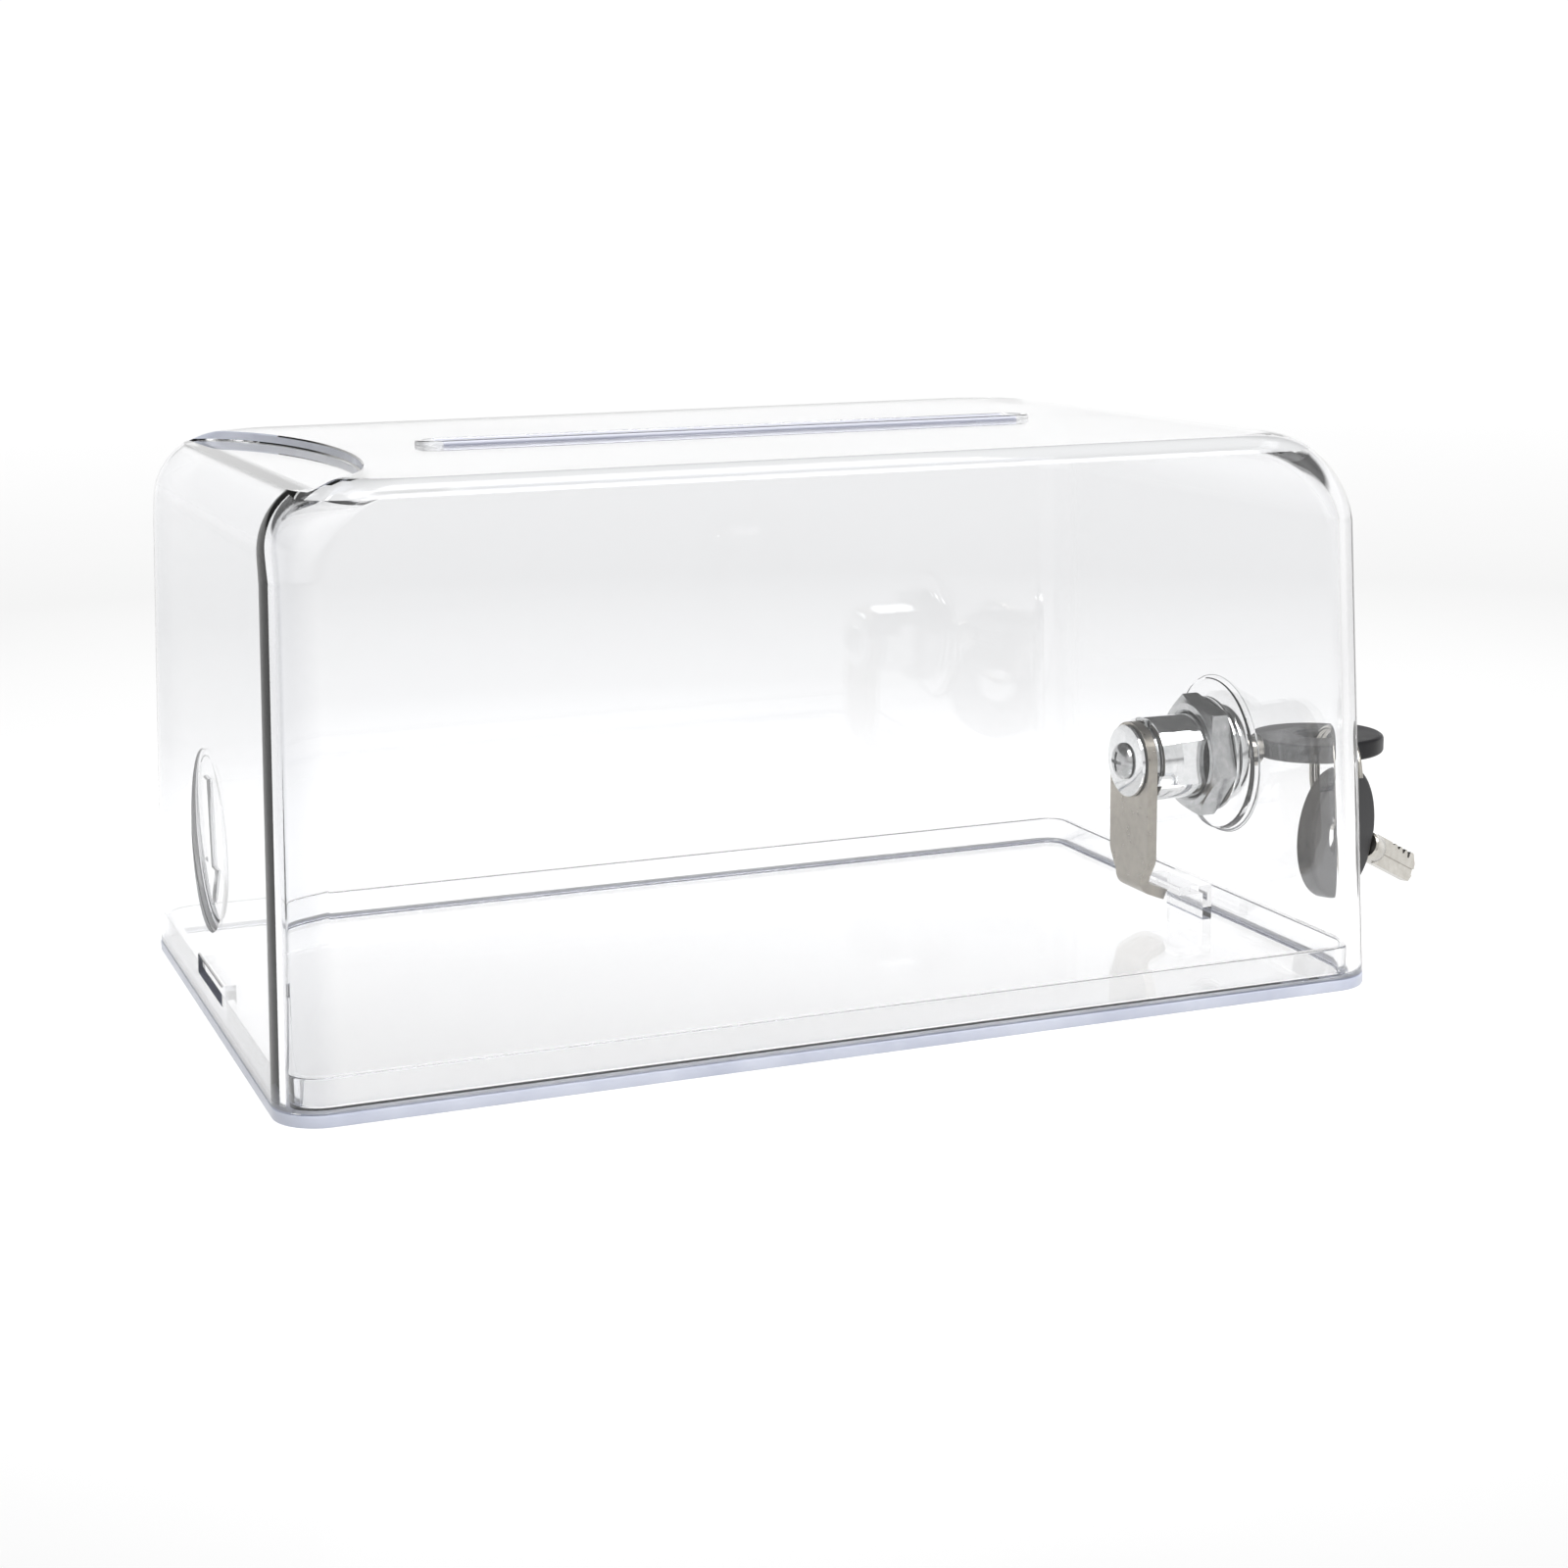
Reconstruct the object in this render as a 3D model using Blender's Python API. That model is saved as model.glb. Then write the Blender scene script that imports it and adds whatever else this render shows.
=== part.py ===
"""Clear locking donation box: a moulded cover hooked to a base tray, held shut by a cam lock with two keys.

Frame: metres, +Z up. The origin is the centre of the base tray's underside, +X points at the lock end,
-Y is the long front. The cover tips up about the bottom edge of its hook end, at -X.
"""
import math

import bmesh
import bpy
from mathutils import Matrix, Vector

# ---- driving dimensions --------------------------------------------------------------------------
LENGTH = 0.228            # outside, along X at the base
DEPTH = 0.142             # outside, along Y at the base
HEIGHT = 0.114            # to the flat top of the cover
WALL = 0.0028             # cover wall
DRAFT = math.tan(math.radians(2.1))
GAP = 0.0003              # between pieces that rest on each other
CORNER_R = 0.0095         # vertical corners, in plan
TOP_CORNER_R = 0.014      # the same corners where they reach the top
HOOK_END_R = 0.013        # the rounding from the hook end's wall to the top
LOCK_END_R = 0.018        # the same at the lock end
FRONT_EDGE_R = 0.0030     # the small rounding along the long top edges
CORNER_STEPS = 7
END_STEPS = 10
HEAD_STEPS = 30           # round the outline of a key's head

# base tray
BASE_T = 0.0025
COVER_Z = BASE_T + GAP    # the cover's lower edge
LIP_INSET = 0.0036        # from the tray's outer edge to the lip
LIP_T = 0.0018
LIP_TOP = 0.0085

# slot and mouldings of the cover
SLOT_LENGTH = 0.131
SLOT_WIDTH = 0.0056
SLOT_RIM = 0.0018         # width of the rim moulded round the slot
RIM_RISE = 0.0010         # the rim's top above the cover's top
SCOOP_DEPTH = 0.0020      # the half-oval step at the hook end of the top
SCOOP_X = -LENGTH / 2 + 0.0125
SCOOP_REACH = 0.0190
SCOOP_HALF = 0.0610
ROUNDEL_R = 0.0180        # round recess in the hook end, with the arrow
ROUNDEL_Z = 0.0385
ROUNDEL_X = -LENGTH / 2 + 0.0023
WINDOW = (0.0135, 0.0078, 0.0118)     # half width, lowest and highest Z of the hook window

# cam lock, on an axis along X; places along it are measured from the seat in the end wall
LOCK_Y = -0.0085
LOCK_Z = 0.0385
SEAT_X = LENGTH / 2 - 0.0023
SEAT_R = 0.0175
BARREL_R = 0.0093
BARREL_FLAT = 0.0080
BARREL_END = -0.0197
FLAT_END = -0.0150        # the flats run from the flange to here
NUT_CORNER = 0.0138       # axis to a corner of the nut
NUT_X = (-0.0091, -0.0041)
WASHER_R = 0.0128
WASHER_X = (-0.0038, -0.0030)
PLUG_R = 0.0062
PLUG_HEAD_R = 0.0074
TANG = 0.0035             # half the square that drives the cam
CAM_X = (-0.0234, -0.0211)
CAM_HALF_WIDTH = 0.0086
CAM_REACH = 0.0268        # axis to the bend of the foot
FOOT_TIP_X = SEAT_X - 0.0153
FOOT_HALF_WIDTH = 0.0055
KEEPER_CLEAR = 0.0004     # the keeper's lip stops short of the foot by this much

# wafers
WAFER_COUNT = 5
WAFER_PITCH = 0.0030
WAFER_T = 0.0008
WAFER_FIRST = -0.0142

# keys and ring
KEY_TIP = -0.0157
BLADE_HALF = 0.0034
BLADE_T = 0.0020
COLLAR = (0.0058, 0.0110)
COLLAR_R = 0.0034
HEAD_START = 0.0113
HEAD_LENGTH = 0.0290
HEAD_HALF = 0.0148
HEAD_NECK = 0.0036        # half the straight start of the oval head, at the collar
HEAD_T = 0.0042
HOLE_U = 0.0155           # hole, from the start of the head
HOLE_R = 0.0050
RING_R = 0.0112
WIRE_R = 0.0006
RING_PITCH = 0.00135
RING_TURN = math.radians(10)
RING_DROP = 0.0062        # ring centre below the key's middle plane
SPARE_TURN = math.radians(30)
SPARE_DIP = math.radians(23.5)
SPARE_HANG = 0.0012       # hole centre below the ring's wire


# ---- scene and materials -------------------------------------------------------------------------
for old in list(bpy.data.objects):
    bpy.data.objects.remove(old, do_unlink=True)


def material(name, colour, roughness, metallic=0.0, alpha=1.0):
    """A plain Principled material."""
    mat = bpy.data.materials.new(name)
    mat.use_nodes = True
    shader = mat.node_tree.nodes["Principled BSDF"]
    shader.inputs["Base Color"].default_value = (*colour, 1.0)
    shader.inputs["Roughness"].default_value = roughness
    shader.inputs["Metallic"].default_value = metallic
    shader.inputs["Alpha"].default_value = alpha
    return mat


CLEAR = ((0.93, 0.95, 1.0), 0.04, 0.0, 0.3)
CHROME = ((0.78, 0.79, 0.80), 0.12, 1.0)
NICKEL = ((0.62, 0.59, 0.53), 0.3, 1.0)
STEEL = ((0.50, 0.50, 0.51), 0.35, 1.0)
BRASS = ((0.78, 0.62, 0.33), 0.3, 1.0)
BLACK = ((0.035, 0.035, 0.038), 0.45)


# ---- mesh helpers --------------------------------------------------------------------------------
def finish(name, bm, look=None, sharp=30):
    """Turn a bmesh into an object with outward faces and smooth shading."""
    bmesh.ops.recalc_face_normals(bm, faces=bm.faces)
    mesh = bpy.data.meshes.new(name)
    bm.to_mesh(mesh)
    bm.free()
    mesh.shade_smooth()
    mesh.set_sharp_from_angle(angle=math.radians(sharp))
    obj = bpy.data.objects.new(name, mesh)
    bpy.context.scene.collection.objects.link(obj)
    if look:
        mesh.materials.append(material(name, *look))
    return obj


def shape(target, cutter, operation):
    """Cut or join a helper solid with a Boolean modifier, and hide the helper."""
    modifier = target.modifiers.new(cutter.name, "BOOLEAN")
    modifier.operation = operation
    modifier.object = cutter
    modifier.solver = "EXACT"
    cutter.hide_render = True
    cutter.display_type = "WIRE"


def cut(target, *cutters):
    for cutter in cutters:
        shape(target, cutter, "DIFFERENCE")


def join(target, *extras):
    for extra in extras:
        shape(target, extra, "UNION")


def skin(bm, rings, closed):
    """Faces between successive rings of vertices; closed also joins the last ring to the first."""
    count = len(rings)
    for k in range(count if closed else count - 1):
        lower, upper = rings[k], rings[(k + 1) % count]
        for i in range(len(lower)):
            j = (i + 1) % len(lower)
            corners = [lower[i], lower[j], upper[j], upper[i]]
            unique = list(dict.fromkeys(corners))
            if len(unique) > 2:
                bm.faces.new(unique)


def turned(name, outline, look=None, centre=(0.0, LOCK_Y, LOCK_Z), segments=32):
    """Turn an outline of (x, radius) points about an axis along X. Radius 0 closes an end."""
    bm = bmesh.new()
    rings = []
    for x, radius in outline:
        if radius == 0:
            rings.append([bm.verts.new((x, centre[1], centre[2]))] * segments)
            continue
        angles = [2 * math.pi * k / segments for k in range(segments)]
        rings.append([bm.verts.new((x, centre[1] + radius * math.cos(a), centre[2] + radius * math.sin(a)))
                      for a in angles])
    skin(bm, rings, closed=outline[0][1] > 0)
    return finish(name, bm, look)


def prism(name, outline, low, high, axis, look=None, sharp=30):
    """Extrude a flat outline along an axis. Outline points are the other two axes, in X, Y, Z order."""
    place = {"X": lambda p, q, t: (t, p, q),
             "Y": lambda p, q, t: (p, t, q),
             "Z": lambda p, q, t: (p, q, t)}[axis]
    bm = bmesh.new()
    ends = [[bm.verts.new(place(p, q, t)) for p, q in outline] for t in (low, high)]
    skin(bm, ends, closed=False)
    for end in ends:
        bm.faces.new(end)
    return finish(name, bm, look, sharp)


def block(name, low, high, look=None):
    """A box between two corners."""
    outline = [(low[0], low[1]), (high[0], low[1]), (high[0], high[1]), (low[0], high[1])]
    return prism(name, outline, low[2], high[2], "Z", look)


def arc(cx, cy, radius, start, end, steps):
    """Points along an arc, angles in degrees."""
    angles = [math.radians(start + (end - start) * k / steps) for k in range(steps + 1)]
    return [(cx + radius * math.cos(a), cy + radius * math.sin(a)) for a in angles]


def ring_of(bm, low_x, high_x, half_y, radius, z):
    """A level ring of vertices: a rounded rectangle from low_x to high_x, anticlockwise."""
    corners = ((high_x - radius, 1, 0), (low_x + radius, 1, 90), (low_x + radius, -1, 180),
               (high_x - radius, -1, 270))
    points = []
    for x, side, start in corners:
        points += arc(x, side * (half_y - radius), radius, start, start + 90, CORNER_STEPS)
    return [bm.verts.new((x, y, z)) for x, y in points]


# ---- cover ---------------------------------------------------------------------------------------
def rounding(radius, top, z):
    """How far a wall has come in at height z, where it turns into the top on this radius."""
    rise = max(0.0, z - (top - radius))
    return radius - math.sqrt(max(0.0, radius ** 2 - rise ** 2))


def cover_rings(bm, inset):
    """Rings of the cover's skin from its lower edge to its top; inset 0 is outside, WALL is inside."""
    top = HEIGHT - inset
    hook_r, lock_r = HOOK_END_R - inset, LOCK_END_R - inset
    edge_r = max(FRONT_EDGE_R - inset, 0.0003)
    start = top - lock_r
    levels = [COVER_Z, (COVER_Z + start) / 2]
    levels += [start + lock_r * math.sin(math.pi / 2 * k / END_STEPS) for k in range(END_STEPS + 1)]
    rings = []
    for z in levels:
        half_x = LENGTH / 2 - inset - z * DRAFT
        half_y = DEPTH / 2 - inset - z * DRAFT - rounding(edge_r, top, z)
        radius = CORNER_R + (TOP_CORNER_R - CORNER_R) * max(0.0, z - start) / lock_r - inset
        rings.append(ring_of(bm, rounding(hook_r, top, z) - half_x, half_x - rounding(lock_r, top, z),
                             half_y, radius, z))
    return rings


def half_oval(reach, half, start_x):
    """Outline of the scoop in plan: straight at start_x, bulging towards +X from SCOOP_X."""
    curve = [(SCOOP_X + reach * math.cos(a), half * math.sin(a))
             for a in [math.radians(-90 + 180 * k / 24) for k in range(25)]]
    curve = [(max(x, start_x), y) for x, y in curve if x > start_x]
    return curve + [(start_x, half), (start_x, -half)]


def arrow_outline(tip, neck, top, stem, barb):
    """A plain arrow pointing down, in Y and Z."""
    return [(0, tip), (barb, neck), (stem, neck), (stem, top), (-stem, top), (-stem, neck), (-barb, neck)]


def make_cover():
    bm = bmesh.new()
    outer, inner = cover_rings(bm, 0.0), cover_rings(bm, WALL)
    skin(bm, outer, closed=False)
    skin(bm, inner, closed=False)
    skin(bm, [outer[0], inner[0]], closed=False)
    bm.faces.new(outer[-1])
    bm.faces.new(inner[-1])
    cover = finish("cover", bm, CLEAR)

    # flat pads inside the end walls, and under the scoop, keep the wall thick behind the recesses
    roundel_axis = (0.0, 0.0, ROUNDEL_Z)
    roundel_pad = turned("roundel_pad", [(ROUNDEL_X + 0.0004, 0), (ROUNDEL_X + 0.0004, ROUNDEL_R - 0.0012),
                                         (ROUNDEL_X + 0.0027, ROUNDEL_R - 0.0012), (ROUNDEL_X + 0.0027, 0)],
                         centre=roundel_axis, segments=40)
    seat_pad = turned("seat_pad", [(SEAT_X - 0.0027, 0), (SEAT_X - 0.0027, SEAT_R - 0.0005),
                                   (SEAT_X - 0.0004, SEAT_R - 0.0005), (SEAT_X - 0.0004, 0)], segments=40)
    scoop_pad = prism("scoop_pad", half_oval(SCOOP_REACH + 0.0015, SCOOP_HALF, SCOOP_X + 0.0025),
                      HEIGHT - SCOOP_DEPTH - 0.0020, HEIGHT - SCOOP_DEPTH - 0.0004, "Z")
    half_slot = SLOT_LENGTH / 2 - SLOT_WIDTH / 2
    rim_r = SLOT_WIDTH / 2 + SLOT_RIM
    slot_rim = prism("slot_rim", arc(half_slot, 0, rim_r, -90, 90, 8) + arc(-half_slot, 0, rim_r, 90, 270, 8),
                     HEIGHT - WALL / 2, HEIGHT + RIM_RISE, "Z")
    join(cover, roundel_pad, seat_pad, scoop_pad, slot_rim)

    scoop = prism("scoop", half_oval(SCOOP_REACH, SCOOP_HALF, -LENGTH / 2),
                  HEIGHT - SCOOP_DEPTH, HEIGHT + 0.002, "Z")
    roundel = turned("roundel", [(-LENGTH / 2 - 0.002, 0), (-LENGTH / 2 - 0.002, ROUNDEL_R),
                                 (ROUNDEL_X, ROUNDEL_R), (ROUNDEL_X, 0)], centre=roundel_axis, segments=48)
    seat = turned("seat", [(SEAT_X, 0), (SEAT_X, SEAT_R), (LENGTH / 2 + 0.002, SEAT_R),
                           (LENGTH / 2 + 0.002, 0)], segments=48)
    slot = prism("slot", arc(half_slot, 0, SLOT_WIDTH / 2, -90, 90, 8)
                 + arc(-half_slot, 0, SLOT_WIDTH / 2, 90, 270, 8), HEIGHT - 0.006, HEIGHT + 0.002, "Z")
    window = block("window", (-LENGTH / 2 - 0.002, -WINDOW[0], WINDOW[1]),
                   (-LENGTH / 2 + 0.006, WINDOW[0], WINDOW[2]))
    barrel_hole = double_flat("barrel_hole", BARREL_R + 0.0004, BARREL_FLAT + 0.0004,
                              SEAT_X - 0.006, SEAT_X + 0.004)
    cut(cover, scoop, roundel, seat, slot, window, barrel_hole)

    arrow_points = arrow_outline(-0.0130, -0.0050, 0.0125, 0.0022, 0.0062)
    arrow = prism("arrow", [(y, z + ROUNDEL_Z) for y, z in arrow_points],
                  ROUNDEL_X - 0.0006, ROUNDEL_X + 0.0008, "X")
    join(cover, arrow)


def double_flat(name, radius, flat, low, high):
    """A round bar along the lock's axis with a flat at the front and one at the back."""
    side = math.degrees(math.acos(flat / radius))
    outline = arc(0, 0, radius, side, 180 - side, 10) + arc(0, 0, radius, 180 + side, 360 - side, 10)
    return prism(name, [(y + LOCK_Y, z + LOCK_Z) for y, z in outline], low, high, "X")


# ---- base tray -----------------------------------------------------------------------------------
def make_base_tray():
    lip_in = LIP_INSET + LIP_T
    levels = [(0.0, 0.0004), (0.0004, 0.0), (BASE_T - 0.0004, 0.0), (BASE_T, 0.0004), (BASE_T, LIP_INSET),
              (LIP_TOP - 0.0003, LIP_INSET), (LIP_TOP, LIP_INSET + 0.0003), (LIP_TOP, lip_in - 0.0003),
              (LIP_TOP - 0.0003, lip_in), (BASE_T, lip_in)]
    bm = bmesh.new()
    rings = [ring_of(bm, inset - LENGTH / 2, LENGTH / 2 - inset, DEPTH / 2 - inset, CORNER_R - inset, z)
             for z, inset in levels]
    skin(bm, rings, closed=False)
    bm.faces.new(rings[0])
    bm.faces.new(rings[-1])
    tray = finish("base_tray", bm, CLEAR)

    left = -LENGTH / 2
    tongue = prism("tongue", [(left + LIP_INSET, BASE_T - 0.001), (left + LIP_INSET, 0.0089),
                              (left + 0.0010, 0.0093), (left + 0.0010, 0.0106), (left + 0.0028, 0.0114),
                              (left + 0.0058, 0.0114), (left + 0.0058, BASE_T - 0.001)], -0.012, 0.012, "Y")
    lip_edge = FOOT_TIP_X + KEEPER_CLEAR
    post = SEAT_X - 0.0067
    keeper = prism("keeper", [(post - 0.0022, BASE_T - 0.001), (post, BASE_T - 0.001), (post, 0.0104),
                              (lip_edge, 0.0104), (lip_edge, 0.0086), (post - 0.0022, 0.0086)],
                   LOCK_Y - 0.008, LOCK_Y + 0.008, "Y")
    join(tray, tongue, keeper)


# ---- lock ----------------------------------------------------------------------------------------
def lock_x(offset):
    return SEAT_X + offset


def make_lock_body():
    bore = PLUG_R + GAP
    housing = turned("lock_housing", [
        (lock_x(BARREL_END), bore), (lock_x(BARREL_END), BARREL_R - 0.0004),
        (lock_x(BARREL_END) + 0.0004, BARREL_R), (lock_x(GAP), BARREL_R), (lock_x(GAP), 0.0108),
        (lock_x(0.0009), 0.0110), (lock_x(0.0021), 0.0107), (lock_x(0.0029), 0.0098),
        (lock_x(0.0029), PLUG_HEAD_R + GAP), (lock_x(0.0009), PLUG_HEAD_R + GAP), (lock_x(0.0009), bore)],
        CHROME, segments=40)
    for side in (-1, 1):
        low, high = sorted((LOCK_Y + side * BARREL_FLAT, LOCK_Y + side * 0.012))
        cut(housing, block(f"barrel_flat_{side + 2}", (lock_x(FLAT_END), low, LOCK_Z - 0.012),
                           (lock_x(0.0002), high, LOCK_Z + 0.012)))
    # two lugs on the inner end stop the stop washer's tab a quarter turn apart
    for k, start in enumerate((60, 194)):
        lug = arc(0, 0, 0.0092, start, start + 16, 4) + arc(0, 0, 0.0081, start + 16, start, 4)
        join(housing, prism(f"stop_lug_{k + 1}", [(y + LOCK_Y, z + LOCK_Z) for y, z in lug],
                            lock_x(-0.0208), lock_x(BARREL_END) + 0.001, "X"))

    low, high = lock_x(WASHER_X[0]), lock_x(WASHER_X[1])
    hole = BARREL_R + GAP
    turned("nut_washer", [(low, hole), (low, WASHER_R), (high, WASHER_R), (high, hole)], STEEL, segments=36)
    low, high = lock_x(NUT_X[0]), lock_x(NUT_X[1])
    hexagon = [(LOCK_Y + NUT_CORNER * math.cos(a), LOCK_Z + NUT_CORNER * math.sin(a))
               for a in [math.radians(60 * k + 12) for k in range(6)]]
    nut = prism("mounting_nut", hexagon, low, high, "X", STEEL)
    brim = NUT_CORNER + 0.0003
    chamfer = turned("nut_chamfer", [(low - 0.001, NUT_CORNER - 0.0035), (low - 0.001, 0.020),
                                     (high, 0.020), (high, brim), (low + 0.0012, brim)], segments=48)
    thread = turned("nut_thread", [(low - 0.001, 0), (low - 0.001, hole), (high + 0.001, hole),
                                   (high + 0.001, 0)], segments=36)
    cut(nut, chamfer, thread)


def make_plug():
    end = lock_x(CAM_X[0]) - 0.0002
    plug = turned("plug", [
        (lock_x(BARREL_END) - 0.0001, 0), (lock_x(BARREL_END) - 0.0001, PLUG_R), (lock_x(0.0012), PLUG_R),
        (lock_x(0.0012), PLUG_HEAD_R), (lock_x(0.0028), PLUG_HEAD_R), (lock_x(0.0032), PLUG_HEAD_R - 0.0004),
        (lock_x(0.0032), 0)], CHROME, segments=32)
    tang = block("tang", (end, LOCK_Y - TANG, LOCK_Z - TANG),
                 (lock_x(BARREL_END) + 0.001, LOCK_Y + TANG, LOCK_Z + TANG))
    join(plug, tang)
    half_y, half_z = BLADE_HALF + GAP, BLADE_T / 2 + GAP
    keyway = block("keyway", (lock_x(KEY_TIP) - 0.0005, LOCK_Y - half_y, LOCK_Z - half_z),
                   (lock_x(0.006), LOCK_Y + half_y, LOCK_Z + half_z))
    screw_hole = turned("screw_hole", [(end - 0.001, 0), (end - 0.001, 0.0021), (lock_x(-0.0170), 0.0021),
                                       (lock_x(-0.0170), 0)], segments=20)
    cut(plug, keyway, screw_hole)
    for k in range(WAFER_COUNT):
        x = lock_x(WAFER_FIRST + k * WAFER_PITCH)
        cut(plug, block(f"wafer_slot_{k + 1}", (x - 0.0004 - WAFER_T / 2, LOCK_Y - 0.008, LOCK_Z - 0.0040),
                        (x + 0.0004 + WAFER_T / 2, LOCK_Y + 0.008, LOCK_Z + 0.0040)))


def make_wafers():
    """Spring-loaded tumblers: plates with a window that the key's blade passes through."""
    for k in range(WAFER_COUNT):
        x = lock_x(WAFER_FIRST + k * WAFER_PITCH)
        wafer = block(f"wafer_{k + 1}", (x - WAFER_T / 2, LOCK_Y - 0.0048, LOCK_Z - 0.0036),
                      (x + WAFER_T / 2, LOCK_Y + 0.0048, LOCK_Z + 0.0023), BRASS)
        cut(wafer, block(f"wafer_window_{k + 1}", (x - 0.001, LOCK_Y - 0.0037, LOCK_Z - 0.0013),
                         (x + 0.001, LOCK_Y + 0.0037, LOCK_Z + 0.0013)))
        path = [Vector((x + 0.00045 * math.cos(a), LOCK_Y - 0.0025 + 0.0010 * a / (2 * math.pi),
                        LOCK_Z + 0.00315 + 0.00038 * math.sin(a)))
                for a in [2 * math.pi * j / 7 for j in range(7 * 5 + 1)]]
        spring = bmesh.new()
        tube(spring, path, 0.0001, 4)
        finish(f"wafer_spring_{k + 1}", spring, STEEL)


def tube(bm, path, radius, sides):
    """A round wire along a path of points, closed at both ends."""
    rings = []
    side = None
    for k, point in enumerate(path):
        ahead = (path[min(k + 1, len(path) - 1)] - path[max(k - 1, 0)]).normalized()
        side = ahead.orthogonal() if side is None else side - ahead * side.dot(ahead)
        side.normalize()
        other = ahead.cross(side)
        rings.append([bm.verts.new(point + radius * (math.cos(a) * side + math.sin(a) * other))
                      for a in [2 * math.pi * j / sides for j in range(sides)]])
    skin(bm, rings, closed=False)
    bm.faces.new(rings[0])
    bm.faces.new(rings[-1])


def square_hole(name, low, high):
    half = TANG + GAP
    return block(name, (low, LOCK_Y - half, LOCK_Z - half), (high, LOCK_Y + half, LOCK_Z + half))


def make_cam():
    stop_x = (lock_x(-0.0208), lock_x(-0.0200))
    stop = turned("stop_washer", [(stop_x[0], 0), (stop_x[0], 0.0078), (stop_x[1], 0.0078), (stop_x[1], 0)],
                  STEEL, segments=32)
    tab = block("stop_tab", (stop_x[0], LOCK_Y - 0.0018, LOCK_Z + 0.006),
                (stop_x[1], LOCK_Y + 0.0018, LOCK_Z + 0.0092))
    join(stop, tab)
    cut(stop, square_hole("stop_square", stop_x[0] - 0.001, stop_x[1] + 0.001))

    low, high = lock_x(CAM_X[0]), lock_x(CAM_X[1])
    plate = arc(0, 0, CAM_HALF_WIDTH, 0, 180, 14)
    plate += [(-CAM_HALF_WIDTH, -CAM_REACH + 0.005), (-FOOT_HALF_WIDTH, -CAM_REACH),
              (FOOT_HALF_WIDTH, -CAM_REACH), (CAM_HALF_WIDTH, -CAM_REACH + 0.005)]
    cam = prism("cam", [(y + LOCK_Y, z + LOCK_Z) for y, z in plate], low, high, "X", NICKEL)
    # the foot: the plate's end bent outwards on a small radius, then sloping down a little
    bend_in, slope = 0.0010, 22
    bend_z = LOCK_Z - CAM_REACH + 0.0004
    outer = arc(high + bend_in, bend_z, bend_in + high - low, 180, 270 - slope, 5)
    inner = arc(high + bend_in, bend_z, bend_in, 270 - slope, 180, 5)
    run = Vector((math.cos(math.radians(-slope)), math.sin(math.radians(-slope))))
    reach = (FOOT_TIP_X - outer[-1][0]) / run.x
    low_tip = (outer[-1][0] + run.x * reach, outer[-1][1] + run.y * reach)
    reach = (FOOT_TIP_X - inner[0][0]) / run.x
    high_tip = (inner[0][0] + run.x * reach, inner[0][1] + run.y * reach)
    foot_outline = [(low, bend_z + 0.002)] + outer + [low_tip, high_tip] + inner + [(high, bend_z + 0.002)]
    foot = prism("foot", foot_outline, LOCK_Y - FOOT_HALF_WIDTH, LOCK_Y + FOOT_HALF_WIDTH, "Y")
    join(cam, foot)
    cut(cam, square_hole("cam_square", low - 0.001, high + 0.001))

    washer_x = (lock_x(-0.0245), lock_x(-0.0237))
    turned("cam_washer", [(washer_x[0], 0.0022), (washer_x[0], 0.0080),
                          (washer_x[1], 0.0080), (washer_x[1], 0.0022)], CHROME, segments=28)
    head_x = (lock_x(-0.0270), lock_x(-0.0248))
    screw = turned("cam_screw", [(head_x[0], 0), (head_x[0], 0.0024), (head_x[0] + 0.0006, 0.0036),
                                 (head_x[1] - 0.0005, 0.0041), (head_x[1], 0.0041), (head_x[1], 0.0018),
                                 (lock_x(-0.0176), 0.0018), (lock_x(-0.0172), 0.0014), (lock_x(-0.0172), 0)],
                   STEEL, segments=24)
    for name, half_y, half_z in (("cross_y", 0.0022, 0.0004), ("cross_z", 0.0004, 0.0022)):
        cut(screw, block(name, (head_x[0] - 0.001, LOCK_Y - half_y, LOCK_Z - half_z),
                         (head_x[0] + 0.0010, LOCK_Y + half_y, LOCK_Z + half_z)))


# ---- keys and ring -------------------------------------------------------------------------------
def head_outline():
    """Key head in plan from its neck: an oval, cut straight where it meets the collar."""
    start = math.pi - math.asin(HEAD_NECK / HEAD_HALF)
    half_length = HEAD_LENGTH / (1 - math.cos(start))
    angles = [start - 2 * start * k / HEAD_STEPS for k in range(HEAD_STEPS + 1)]
    return [(half_length * (math.cos(a) - math.cos(start)), HEAD_HALF * math.sin(a)) for a in angles]


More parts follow.
